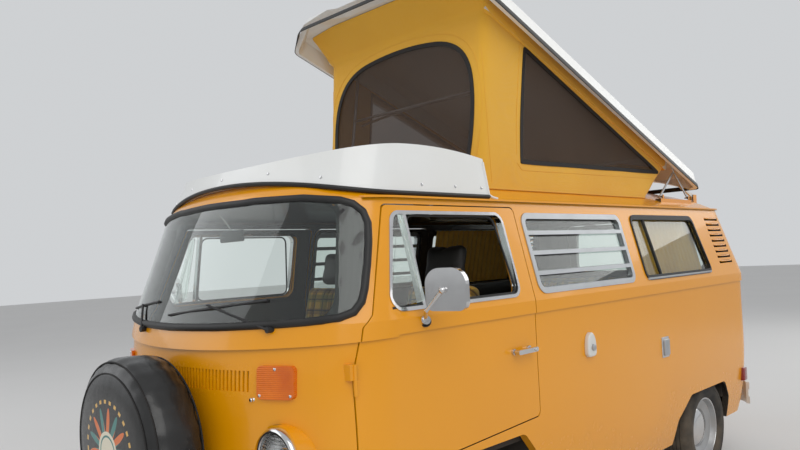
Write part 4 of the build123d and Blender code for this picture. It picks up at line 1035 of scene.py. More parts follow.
@dataclass
class CanvasTent:
    """The pop-top's cloth walls with their mesh windows, hems and seams, millimetres."""

    half: float = 583
    foot: Point = (450, 2190)
    head: Point = (390, 2452)
    head_z: float = 1874
    rail_share: float = 0.85
    rail_half: float = 598
    rail_front: float = 215
    rail_rear: float = 2467
    cloth: float = 0.0024
    cutter_reach: float = 0.06
    net_grid: float = 0.075
    fold_above: float = 14
    fold_keep: float = 0.012
    hem_out: float = 4
    hem_in: float = -19
    seam_out: dict[int, float] = field(default_factory=lambda: {0: 42, 1: 36, -1: 36})
    rows: int = 30
    columns: int = 44
    front_limit: float = -0.40
    front_window: tuple[Point, ...] = (
        (0, 2668), (170, 2660), (330, 2634), (440, 2570), (500, 2470), (521, 2330), (519, 2190), (508, 2080),
        (494, 1988), (300, 1982), (0, 1982), (-300, 1982), (-494, 1988), (-508, 2080), (-519, 2190),
        (-521, 2330), (-500, 2470), (-440, 2570), (-330, 2634), (-170, 2660),
    )
    side_window: tuple[Point, ...] = (
        (770, 1995), (790, 1990), (1300, 2001), (2350, 2019), (2392, 2023), (2350, 2046), (1600, 2326),
        (885, 2592), (855, 2602), (850, 2575),
    )
    fittings: list[bpy.types.Object] = field(default_factory=list)

    def wall_point(self, x: float, v: float, w: float, roof_z: float) -> Vector:
        """A point of the walls.

        Args:
            x: across, millimetres.
            v: from front 0 to rear 1.
            w: from the roof 0 to the lid 1.
            roof_z: the roof's height under it.

        Returns:
            The point in the frame.
        """
        foot_y = self.foot[0] + v * (self.foot[1] - self.foot[0])
        foot = Vector((x / 1000, (foot_y - FRONT_AXLE) / 1000, roof_z))
        head_y = self.head[0] + v * (self.head[1] - self.head[0])
        if w <= self.rail_share:
            return foot.lerp(raised(x, head_y, self.head_z), w / self.rail_share)
        rise = (w - self.rail_share) / (1 - self.rail_share)
        wide = x * (1 + (self.rail_half / self.half - 1) * min(1, 4 * rise))
        along = head_y + rise * (self.rail_front + v * (self.rail_rear - self.rail_front) - head_y)
        low = raised(wide, along, self.head_z - 6)
        up = (raised(0, 0, 1) - raised(0, 0, 0)).normalized()
        skin = touch("pop_top_lid", low, up) - up * 0.004
        return low.lerp(skin, rise)

    def walls(self) -> bpy.types.Object:
        """The four walls as one sheet, pulled in a little and creased."""
        clear_selection()
        bpy.ops.mesh.primitive_cube_add(size=2, location=(0, 0, 0))
        piece = named("canvas_walls")
        with shaping(piece):
            pick_faces(lambda middle, normal: abs(normal.z) > 0.9)
            bpy.ops.mesh.delete(type="ONLY_FACE")
        with shaping(piece, "EDGE"):
            pick_edges(lambda middle, way: abs(way.z) > 0.5)
            bpy.ops.mesh.bevel(offset=0.055, segments=4, affect="EDGES")
            bpy.ops.mesh.select_all(action="DESELECT")
            pick_edges(lambda middle, way: abs(way.z) > 0.5)
            bpy.ops.mesh.subdivide(number_cuts=self.rows)
            bpy.ops.mesh.select_all(action="DESELECT")
            pick_edges(lambda middle, way: abs(way.z) < 0.01 and way.length > 1)
            bpy.ops.mesh.subdivide(number_cuts=self.columns)
        for vertex in piece.data.vertices:
            u, v, w = vertex.co.x, (vertex.co.y + 1) / 2, (vertex.co.z + 1) / 2
            foot_y = self.foot[0] + v * (self.foot[1] - self.foot[0])
            roof = touch("roof_panel", spot(u * self.half, foot_y, 2400), Vector((0, 0, -1)))
            place = self.wall_point(u * self.half, v, w, roof.z + 0.001)
            vertex.co = place + self.crease(u, v, w)
        piece.data.update()
        outward(piece)
        faced(piece, Vector((0, 0, 2.2)))
        return piece

    def crease(self, u: float, v: float, w: float) -> Vector:
        """How far the cloth lies off its flat wall, pulled in at mid height.

        Args:
            u: place across, -1 on the right wall and 1 on the left one.
            v: place along, 0 in front and 1 behind.
            w: place up, 0 at the foot and 1 at the head.

        Returns:
            The cloth's way off the wall.
        """
        tight = math.sin(math.pi * min(1, w / self.rail_share))
        folds = 0.0032 * math.sin(11 * v + 7 * w) * math.sin(5 * w + 3 * v) + 0.002 * math.sin(23 * v - 9 * w)
        if abs(u) > 0.9:
            pulled = 0.008 * math.sin(math.pi * v) ** 0.5 - folds
            corner = 0.010 * math.exp(-((v / 0.05) ** 2))
            return Vector((-math.copysign(1, u) * tight * (pulled + corner), 0, 0))
        folds = 0.003 * math.sin(9 * u + 5 * w) * math.sin(6 * w)
        side = 1 if v < 0.5 else -1
        return Vector((0, side * tight * (0.006 * math.cos(u * math.pi / 2) - folds), 0))

    def cast(self, walls: bpy.types.Object, points: Sequence[Point], side: int, out: float) -> list[Vector]:
        """Carries an outline onto the creased cloth.

        Args:
            walls: the uncut cloth.
            points: (x, z) on the front, (y, z) on a flank.
            side: 0 front, 1 left, -1 right.
            out: how far the points stand off the cloth, in metres.

        Returns:
            The points that lie on the cloth.
        """
        way = Vector((-side, 0, 0)) if side else Vector((0, 1, 0))
        placed = []
        for a, b in points:
            start = spot(side * 900, a, b) if side else spot(a, -300, b)
            hit, place, _, _ = walls.ray_cast(start, way)
            if hit and (place.x * side > 0.4 if side else place.y < self.front_limit):
                placed.append(place - way * out)
        return placed

    def net(self, name: str, outline: Sequence[Vector], side: int) -> bpy.types.Object:
        """A mesh pane inside an outline, parted into small faces and hung a little slack.

        Args:
            name: the piece's name.
            outline: its edge on the cloth.
            side: 0 in front, 1 left, -1 right.

        Returns:
            The pane.
        """
        piece = panel(name, outline)
        low = [min(place[k] for place in outline) for k in range(3)]
        high = [max(place[k] for place in outline) for k in range(3)]
        with shaping(piece):
            for axis in ((1, 2) if side else (0, 2)):
                along = Vector([float(k == axis) for k in range(3)])
                for step in range(1, round((high[axis] - low[axis]) / self.net_grid)):
                    bpy.ops.mesh.select_all(action="SELECT")
                    bpy.ops.mesh.bisect(plane_co=along * (low[axis] + step * self.net_grid), plane_no=along)
        inward = Vector((-side, 0, 0)) if side else Vector((0, 1, 0))
        for vertex in piece.data.vertices:
            near = min((vertex.co - place).length for place in outline)
            slack = 0.007 * min(1, near / 0.1) * (1 + 0.6 * math.sin(vertex.co.y * 13 + vertex.co.z * 17))
            vertex.co += inward * slack
        settle(piece, "pop_top_lid", MESH)
        return piece

    def build(self) -> None:
        """Makes the walls, cuts the windows, and fills and hems them."""
        walls = self.walls()
        rings = []
        for points, side, word in (
            (self.front_window, 0, "front"), (self.side_window, 1, "left"), (self.side_window, -1, "right"),
        ):
            outline = rounded(points, 2)
            turns = sum(a[0] * b[1] - b[0] * a[1] for a, b in zip(outline, [*outline[1:], outline[0]]))
            lines = ((0, 0), (self.hem_out, 0.0012), (self.hem_in, 0.0005), (self.seam_out[side], 0.0006))
            rings.append((side, word, round(abs(turns) / 2e6, 2), [
                self.cast(walls, shifted(outline, out), side, proud) for out, proud in lines
            ]))
        corners = self.seams(walls)
        modify(walls, "SOLIDIFY", thickness=self.cloth, offset=-1)
        nets = []
        for side, word, area, (edge, outer, inner, stitched) in rings:
            way = Vector((side, 0, 0)) if side else Vector((0, -1, 0))
            cutter = panel("cutter_" + word, [place - way * self.cutter_reach for place in edge])
            with shaping(cutter):
                bpy.ops.mesh.select_all(action="SELECT")
                through = way * self.cutter_reach * 2
                bpy.ops.mesh.extrude_region_move(TRANSFORM_OT_translate={"value": through})
            outward(cutter)
            modify(walls, "BOOLEAN", object=cutter, operation="DIFFERENCE", solver="EXACT")
            bpy.data.objects.remove(cutter)
            hem = banded("hem_" + word, outer, inner, 0.0045)
            self.fittings.append(settle(hem, "pop_top_lid", PIPING))
            whole = side == 0 or len(stitched) == len(edge)
            seam = piping("seam_" + word, stitched, 0.0016, closed=whole, sides=1)
            self.fittings.append(settle(seam, "pop_top_lid", CANVAS))
            nets.append(self.net("mesh_" + word, [place - way * 0.004 for place in edge], side))
        settle(walls, "pop_top_lid", CANVAS, 50, ["canvas"])
        self.fittings += corners
        for piece in [walls, *self.fittings, *nets]:
            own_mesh(piece)

    def seams(self, walls: bpy.types.Object) -> list[bpy.types.Object]:
        """The upright corner seams and the foot's hem."""
        made = []
        for side, word in ((1, "left"), (-1, "right")):
            line = self.cast(walls, [(520, z) for z in range(1880, 2700, 45)], side, 0.0006)
            made.append(piping("corner_seam_" + word, line, 0.0018, sides=1))
        half, front, rear = self.half + 2, self.foot[0] - 2, self.foot[1] + 2
        foot = filleted([(-half, front), (-half, rear), (half, rear), (half, front)], 45)
        ring = []
        for a, b in dense(foot, 120):
            roof = touch("roof_panel", spot(a, b, 2400), Vector((0, 0, -1)))
            ring.append(Vector((a / 1000, (b - FRONT_AXLE) / 1000, roof.z + 0.006)))
        made.append(piping("canvas_foot_cord", ring, 0.0045, closed=True))
        return [settle(piece, "pop_top_lid", CANVAS) for piece in made]


@dataclass
class PopTopTrim:
    """Black edge of the raised lid, the bow in the canvas and the stays' links, millimetres."""

    foot: float = 1856
    edge: float = 30
    lean: float = 7.8
    half: float = 683
    rear: float = 2816
    front: float = 52
    front_half: float = 470
    taper_rear: float = 190
    corner: float = 34
    thick: float = 3.92

    def outline(self, z: float, inset: float) -> list[Vector]:
        """The lid's plan outline at a height, drawn in, and raised."""
        side, rear = self.half - inset, self.rear - inset
        slant, front = self.front_half - inset / 2, self.front + inset
        corners = [
            (side, self.taper_rear), (side, rear), (-side, rear), (-side, self.taper_rear),
            (-slant, front), (slant, front),
        ]
        return [raised(x, y, z) for x, y in filleted(corners, self.corner, 4)]

    def build(self) -> None:
        """Makes the edge trim, the cross bow and the links."""
        low, high = self.outline(self.foot, 0), self.outline(self.foot + self.edge, self.lean)
        piece = panel("lid_edge_trim", low)
        lift = raised(0, 0, self.edge) - raised(0, 0, 0)
        with shaping(piece):
            bpy.ops.mesh.select_all(action="SELECT")
            bpy.ops.mesh.extrude_region_move(TRANSFORM_OT_translate={"value": lift})
            pick_faces(lambda middle, normal: abs(normal.normalized().dot(lift.normalized())) > 0.9)
            bpy.ops.mesh.delete(type="ONLY_FACE")
        count = len(low)
        for vertex in piece.data.vertices:
            nearest = min(range(count), key=lambda k: (low[k] + lift - vertex.co).length)
            if (low[nearest] + lift - vertex.co).length < 0.002:
                vertex.co = high[nearest]
        outward(piece)
        modify(piece, "SOLIDIFY", thickness=self.thick / 1000, offset=0.7)
        modify(piece, "BEVEL", width=0.0012, segments=2, limit_method="ANGLE")
        settle(piece, "pop_top_lid", RUBBER)
        bow = []
        for x in range(-560, 561, 80):
            bow.append(raised(x, 560, 1900 + 40 * (1 - (x / 560) ** 2)) + Vector((0, 0.04, -0.33)))
        settle(piping("canvas_bow", bow, 0.008), "pop_top_lid", ALLOY)
        for side, word in ((1, "left"), (-1, "right")):
            link = [spot(side * 634, 2500, 2018), spot(side * 640, 2488, 2040), spot(side * 642, 2440, 2084)]
            settle(piping("stay_link_" + word, link, 0.0045), "pop_top_lid", ALLOY)


@dataclass
class TrayTrim:
    """Lower edge strip, rear flange and screws of the luggage tray, places in drawing millimetres."""

    strip: float = 0.0095
    screw: float = 0.007
    strip_above: float = 7
    low_side: float = 1722
    low_front: float = 1864
    reach: float = 960
    rear: float = 288

    def low_edge(self, x: float) -> float:
        """Height of the tray's lower edge at a distance from the middle, drawing millimetres."""
        rise = self.low_front - self.low_side
        bend = (self.reach**2 + rise**2) / (2 * rise)
        return self.low_front - bend + math.sqrt(bend**2 - x**2)

    def edge_point(self, start: Point, way: Point) -> Vector | None:
        """The tray's lower edge, met level from outside, or nothing where the line misses.

        Args:
            start: where the line starts, seen from above.
            way: its direction, seen from above.

        Returns:
            The point that is met, or nothing.
        """
        x = 0.0
        for _ in range(4):
            aim = spot(*start, self.low_edge(x) + self.strip_above)
            place = touch("luggage_tray", aim, Vector((*way, 0)))
            if place == aim:
                return None
            x = place.x * 1000
        return place

    def edge_line(self) -> list[Vector]:
        """The lower edge from the left rear corner round the front to the right one."""
        places = [self.edge_point((1300, y), (-1, 0)) for y in range(285, -330, -40)]
        for step in range(1, 24):
            turn = math.radians(90 * step / 24)
            start = (1500 * math.cos(turn), -330 - 1500 * math.sin(turn))
            places.append(self.edge_point(start, (-math.cos(turn), math.sin(turn))))
        line = [place for place in places if place is not None]
        middle = self.edge_point((0, -1300), (0, 1))
        return line + [middle] + [Vector((-place.x, place.y, place.z)) for place in reversed(line)]

    def flange(self) -> None:
        """The turned-out edge at the tray's open rear, flared at its foot."""
        for side, word in ((1, "left"), (-1, "right")):
            line = [spot(side * 756, self.rear + 36, 1778), spot(side * 746, self.rear + 16, 1784)]
            for z in range(1796, 1950, 30):
                at = touch("luggage_tray", spot(side * 1200, self.rear - 4, z), Vector((-side, 0, 0)))
                if abs(at.x) < 1:
                    line.append(at + Vector((0, 0.004, 0)))
            settle(piping("tray_flange_" + word, line, 0.006), "body", FIBREGLASS)

    def build(self) -> None:
        """Makes the strip, the flange and the screws."""
        settle(piping("tray_edge_strip", self.edge_line(), self.strip), "body", RUBBER)
        self.flange()
        screws = []
        ahead = ((0, 1905), (300, 1898), (-300, 1898), (560, 1856), (-560, 1856))
        spots = [(x, -1200, z, (0, 1, 0)) for x, z in ahead]
        spots += [(side * 900, y, 1826, (-side, 0, 0)) for side in (-1, 1) for y in (-150, 60, 240)]
        for index, (x, y, z, way) in enumerate(spots):
            aim = Vector(way)
            place = touch("luggage_tray", spot(x, y, z), aim)
            head = [(0.003, 0), (0.003, 0.003), (0.0015, self.screw), (-0.002, self.screw), (-0.002, 0)]
            screws.append(turned(f"tray_screw_{index}", head, place, -aim, 16))
        settle(joined("tray_screws", screws), "body", CHROME)


@dataclass
class NoseTrim:
    """Headlamps, signal screws, painted shade in the grille's slots, and latch."""

    lamp: Vector = spot(586, -812, 842)
    slots: int = 22
    pitch: float = 19
    outer_slot: float = 448

    def headlamp(self) -> list[bpy.types.Object]:
        """The left headlamp: chrome ring, ribbed lens, bright bowl and bulb."""
        ahead = Vector((0, -1, 0))
        ring = turned("lamp_ring", [
            (-0.004, 0.116), (0.006, 0.1165), (0.014, 0.113), (0.019, 0.106), (0.018, 0.099), (0.011, 0.0945),
            (0.004, 0.094), (0.004, 0.104), (-0.004, 0.112), (-0.004, 0.116),
        ], self.lamp, ahead, 72)
        lens = turned("lamp_lens", [
            (0.030, 0), (0.0295, 0.02), (0.027, 0.045), (0.022, 0.07), (0.0125, 0.0935), (0.008, 0.0935),
            (0.018, 0.07), (0.023, 0.045), (0.026, 0.02), (0.0265, 0),
        ], self.lamp, ahead, 64)
        bowl = turned("lamp_bowl", [
            (0.006, 0.0935), (-0.006, 0.088), (-0.020, 0.072), (-0.030, 0.045), (-0.034, 0.015), (-0.034, 0),
            (-0.036, 0), (-0.036, 0.016), (-0.032, 0.048), (-0.022, 0.076), (-0.008, 0.092), (0.004, 0.0965),
            (0.006, 0.0935),
        ], self.lamp, ahead, 64)
        bulb = turned("lamp_bulb", [
            (-0.034, 0.012), (-0.018, 0.013), (-0.016, 0.0085), (0.0, 0.0085), (0.006, 0.006), (0.008, 0),
        ], self.lamp, ahead, 24)
        for piece, finish in ((ring, CHROME), (lens, LAMP_GLASS), (bowl, CHROME), (bulb, WHITE_PAINT)):
            settle(piece, "body", finish, 35)
        return [ring, lens, bowl, bulb]

    def screw_heads(self) -> None:
        """Three screws on each turn signal."""
        heads = []
        for x, z in ((512, 1066), (630, 1066), (571, 1160)):
            place = touch("turn_signals", spot(x, -1300, z), Vector((0, 1, 0)))
            for side in (-1, 1):
                at = Vector((place.x * side, place.y, place.z))
                head = [(0.004, 0), (0.0035, 0.0035), (0.001, 0.006), (-0.003, 0.006), (-0.003, 0)]
                heads.append(turned("signal_screw", head, at, Vector((0.3 * side, -1, 0)), 14))
        settle(joined("signal_screws", heads), "body", CHROME)

    def slot_backs(self) -> None:
        """Painted shade: dark strips at the bottom of the grille's slots, where the openings look dark."""
        first = block("slot_back", Vector((-0.0042, 0, 1.0765)), Vector((0.0042, 0.003, 1.1485)), 0.0008, 1)
        shade_strips = []
        for side in (-1, 1):
            for index in range(self.slots):
                x = side * (self.outer_slot - index * self.pitch)
                floor = touch("nose_panel", spot(x, -1200, 1112), Vector((0, 1, 0)))
                move = Matrix.Translation((x / 1000, floor.y - 0.0032, 0))
                shade_strips.append(copied(first, f"slot_back_{side}_{index}", move))
        bpy.data.objects.remove(first)
        # the dark strips are painted shade in the slots, not a real part
        settle(joined("grille_shadow", shade_strips), "body", PLASTIC)

    def build(self) -> None:
        """Makes the nose's trim."""
        self.screw_heads()
        self.slot_backs()
        lamps = self.headlamp()
        for piece in lamps:
            other = copied(piece, piece.name + "_right", ACROSS)
            finish = next(kind for kind, made in MATERIALS.items() if made == piece.data.materials[0])
            settle(other, "body", finish, 35)
        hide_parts("headlamps")
        pin = touch("nose_panel", spot(470, -1200, 1048), Vector((0, 1, 0)))
        knob = [(0.012, 0), (0.012, 0.006), (0.009, 0.008), (0.002, 0.006), (-0.004, 0.009), (-0.004, 0)]
        settle(turned("grille_latch", knob, pin, Vector((0, -1, 0)), 20), "body", CHROME)


@dataclass
class SpareCover:
    """The black vinyl cover on the spare wheel, with welted seams, metres."""

    back: Vector = spot(0, -940, 862)
    folds: int = 26

    def build(self) -> None:
        """Makes the cover as one curved sheet and its two welts."""
        ahead = Vector((0, -1, 0))
        cover = turned("vinyl_cover", [
            (0.227, 0), (0.2265, 0.05), (0.225, 0.11), (0.2235, 0.17), (0.2205, 0.23), (0.2135, 0.285),
            (0.200, 0.318), (0.178, 0.337), (0.150, 0.3445), (0.11, 0.3455), (0.07, 0.344), (0.036, 0.338),
            (0.014, 0.325), (0.004, 0.305), (0.001, 0.270),
        ], self.back, ahead, 128)
        for vertex in cover.data.vertices:
            local = vertex.co - self.back
            out = Vector((local.x, 0, local.z))
            angle = math.atan2(local.z, local.x)
            rim = math.exp(-((out.length - 0.33) / 0.02) ** 2)
            waves = 0.0022 * math.sin(self.folds * angle) + 0.0016 * math.sin(11 * angle + local.y * 30)
            ripple = rim * waves
            sag = -0.004 * max(0.0, -math.sin(angle)) * rim
            if out.length > 0.01:
                vertex.co += out.normalized() * (ripple + sag)
        modify(cover, "SOLIDIFY", thickness=0.0022, offset=-1)
        settle(cover, "body", COVER, 60, ["spare_cover"])
        welts = []
        for along, radius in ((0.2115, 0.293), (0.188, 0.3325), (0.016, 0.330)):
            points = []
            for step in range(96):
                angle = step * math.pi / 48
                around = Vector((radius * math.cos(angle), -along, radius * math.sin(angle)))
                points.append(self.back + around)
            welts.append(piping("cover_welt", points, 0.0034, closed=True))
        welt = settle(joined("cover_welts", welts), "body", PIPING)


@dataclass
class RoadWheels:
    """Treaded tyres, chrome caps, trim rings, and dark discs of painted shade at the vents."""

    axle_height: float = 324
    wheelbase: float = 2400
    front_track: float = 1395
    rear_track: float = 1455
    steps: int = 160

    def tyre(self, name: str, centre: Vector) -> bpy.types.Object:
        """One tyre with grooves round its tread and sipes across its shoulders."""
        half = [
            (0.064, 0.1925), (0.076, 0.2), (0.087, 0.222), (0.0915, 0.25), (0.0905, 0.268), (0.0925, 0.270),
            (0.0905, 0.273), (0.084, 0.296), (0.074, 0.3095), (0.067, 0.3155), (0.0585, 0.3205),
            (0.046, 0.322), (0.043, 0.3225), (0.041, 0.3155), (0.036, 0.3155), (0.034, 0.323),
            (0.017, 0.3235), (0.015, 0.316),
            (0.010, 0.316), (0.008, 0.3238),
        ]
        profile = half + [(-along, radius) for along, radius in reversed(half)]
        piece = turned(name, profile + [profile[0]], centre, Vector((1, 0, 0)), self.steps)
        for vertex in piece.data.vertices:
            local = vertex.co - centre
            out = Vector((0, local.y, local.z))
            if out.length > 0.3085 and abs(local.x) > 0.044:
                step = round(math.atan2(local.z, local.y) / (2 * math.pi) * self.steps)
                if step % 4 == 0:
                    vertex.co -= out.normalized() * 0.0045
        return piece

    def cap(self, name: str, centre: Vector, way: float) -> bpy.types.Object:
        """A domed chrome cap over the wheel's middle."""
        profile = [
            (0.0135, 0.1265), (0.0205, 0.1285), (0.0275, 0.1225), (0.0315, 0.112), (0.0395, 0.0985),
            (0.043, 0.085), (0.0485, 0.061), (0.0505, 0.03), (0.051, 0),
        ]
        piece = turned(name, profile, centre, Vector((way, 0, 0)), 64)
        modify(piece, "SOLIDIFY", thickness=0.0012, offset=-1)
        return piece

    def build(self) -> None:
        """Dresses the four wheels."""
        for place, y, track in (("front", 0, self.front_track), ("rear", self.wheelbase, self.rear_track)):
            for side, word in ((1, "left"), (-1, "right")):
                body = f"wheel_{place}_{word}"
                centre = spot(side * track / 2, y, self.axle_height)
                tyre = self.tyre(f"treaded_tyre_{place}_{word}", centre)
                settle(tyre, body, TYRE, 30, [f"tyre_{place}_{word}"])
                settle(self.cap(f"hub_cap_{place}_{word}", centre, side), body, CHROME, 30)
                ring = turned(f"trim_ring_{place}_{word}", [
                    (0.0705, 0.2075), (0.0735, 0.204), (0.0715, 0.194), (0.058, 0.185), (0.040, 0.178),
                    (0.037, 0.172), (0.0355, 0.174), (0.038, 0.180), (0.056, 0.188), (0.069, 0.196),
                    (0.0705, 0.2075),
                ], centre, Vector((side, 0, 0)), 72)
                settle(ring, body, CHROME, 30)
                # painted shade: dark discs where the wheel's vents are, standing for the dark drum behind
                # them and the shade seen through them
                vent_shades = []
                for step in range(8):
                    angle = step * math.pi / 4
                    at = centre + Vector((side * 0.0155, 0.148 * math.cos(angle), 0.148 * math.sin(angle)))
                    vent_shade_disc = [(0.003, 0), (0.003, 0.009), (0.0005, 0.011), (-0.002, 0.011), (-0.002, 0)]
                    vent_shades.append(turned("vent", vent_shade_disc, at, Vector((side, 0, 0)), 16))
                settle(joined(f"wheel_vents_{place}_{word}", vent_shades), body, CHASSIS)


@dataclass
class CabInterior:
    """Stuffed seats, gauges, inside mirror and horn pad."""

    voxel: float = 0.009
    cap: float = 0.012

    def stuffed(
        self, name: str, low: Vector, high: Vector, channels: int, tilt: float = 0.0
    ) -> bpy.types.Object:
        """A cushion with sewn channels across it.

        Args:
            name: the piece's name.
            low: its lowest corner before it is leant back.
            high: its highest corner.
            channels: sewn lines across its width.
            tilt: how far it leans back about its foot, in radians.

        Returns:
            The cushion.
        """
        piece = block(name, low, high, 0.036, 4)
        stuff(piece, self.cap, self.voxel)
        wide = high.x - low.x
        for vertex in piece.data.vertices:
            if channels:
                share = (vertex.co.x - low.x) / wide * channels
                groove = math.exp(-((share - round(share)) * wide / channels / 0.006) ** 2)
                inner = 0 < round(share) < channels
                middle = (low + high) / 2
                thin = 2 if high.z - low.z < high.y - low.y else 1
                if inner:
                    vertex.co[thin] -= math.copysign(0.007 * groove, vertex.co[thin] - middle[thin])
        if tilt:
            foot = Vector((0, (low.y + high.y) / 2, low.z))
            turn = Matrix.Translation(foot) @ Matrix.Rotation(tilt, 4, "X") @ Matrix.Translation(-foot)
            piece.data.transform(turn)
        return piece

    def seats(self) -> None:
        """The two cab seats, the right one a copy of the left one."""
        rake = -math.radians(14)
        cushion = self.stuffed("seat_cushion_left", spot(182, -288, 782), spot(618, 178, 888), 4)
        back = self.stuffed("seat_back_left", spot(184, 152, 862), spot(616, 248, 1412), 4, rake)
        rest = self.stuffed("head_rest_left", spot(282, 300, 1405), spot(518, 366, 1588), 0, rake)
        for piece, finish in ((cushion, SEAT), (back, SEAT), (rest, HEAD_REST)):
            settle(piece, "body", finish, 60)
            other = copied(piece, piece.name.replace("left", "right"), Matrix.Translation((-0.8, 0, 0)))
            settle(other, "body", finish, 60)
        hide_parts("front_seats")
        for side, word in ((-1, "right"), (1, "left")):
            low, high = spot(side * 400 - 200, -270, 770.5), spot(side * 400 + 200, 170, 792)
            settle(block("seat_base_" + word, low, high, 0.006), "body", PLASTIC)

    def bench(self) -> None:
        """The rear bench's cushion and back over its box."""
        cushion = self.stuffed("bench_cushion", spot(-488, 1772, 812), spot(488, 2168, 908), 6)
        back = self.stuffed("bench_back", spot(-488, 2150, 885), spot(488, 2232, 1348), 6, -math.radians(8))
        base = block("bench_box", spot(-500, 1762, 470.5), spot(500, 2298, 812), 0.012)
        for piece, finish in ((cushion, SEAT), (back, SEAT)):
            settle(piece, "body", finish, 60)
        settle(base, "body", VENEER, 40, ["rear_bench"])

    def dash_gauges(self) -> None:
        """Three gauges on the dash, and a column shroud's horn pad."""
        behind = Vector((0, 1, 0))
        for index, x in enumerate((268, 380, 492)):
            at = spot(x, -650, 1140)
            rim = turned(f"gauge_rim_{index}", [
                (0.0, 0.050), (0.010, 0.050), (0.013, 0.046), (0.009, 0.043), (0.002, 0.043), (0.0, 0.050),
            ], at, behind, 40)
            face = turned(f"gauge_face_{index}", [
                (0.002, 0), (0.002, 0.040), (0.0025, 0.0435), (-0.001, 0.0435), (-0.001, 0),
            ], at, behind, 40)
            settle(rim, "body", CHROME)
            settle(face, "body", DIAL)
        line = Vector((0, 300, 660)).normalized()
        pad = turned("horn_pad", [
            (0.0145, 0), (0.014, 0.02), (0.010, 0.04), (0.002, 0.048), (-0.008, 0.046), (-0.008, 0),
        ], spot(380, -420, 1130), line, 40)
        settle(pad, "steering_wheel", PLASTIC)

    def build(self) -> None:
        """Makes the cab's soft pieces and small fittings."""
        self.seats()
        self.bench()
        self.dash_gauges()
        low, high = spot(-90, -590, 1640), spot(90, -578, 1690)
        glass = block("inside_mirror", low, high, 0.005)
        bend = [spot(0, -585, 1688), spot(0, -605, 1720), spot(0, -640, 1760)]
        arm = piping("inside_mirror_arm", bend, 0.004)
        settle(glass, "body", PLASTIC)
        settle(arm, "body", CHROME)


@dataclass
class Curtains:
    """Gathered curtains inside the rear side windows, drawing millimetres."""

    front: float = 1560
    rear: float = 2500
    low: float = 1330
    high: float = 1722
    folds: int = 17
    inside: float = 59

    def build(self) -> None:
        """Makes both curtains and the rods that they hang from."""
        for side, word in ((1, "left"), (-1, "right")):
            clear_selection()
            bpy.ops.mesh.primitive_grid_add(x_subdivisions=220, y_subdivisions=14, size=2, location=(0, 0, 0))
            piece = named("curtain_" + word)
            for vertex in piece.data.vertices:
                v, w = (vertex.co.x + 1) / 2, (vertex.co.y + 1) / 2
                y = self.front + v * (self.rear - self.front)
                z = self.low + w * (self.high - self.low)
                wave = math.sin(2 * math.pi * self.folds * v + 0.6 * math.sin(9 * v)) * (7.5 - 2 * w)
                inward = self.inside + wave + 2 * math.sin(5 * w + 13 * v)
                vertex.co = spot(side * (flank(z) - inward), y, z)
            piece.data.update()
            modify(piece, "SOLIDIFY", thickness=0.0012, offset=0)
            settle(piece, "body", CURTAIN, 60, ["curtains"] if side > 0 else [])
            rod = [spot(side * (flank(1724) - 56), y, 1724) for y in (self.front - 20, self.rear + 20)]
            settle(piping("curtain_rod_" + word, rod, 0.004), "body", ALLOY)


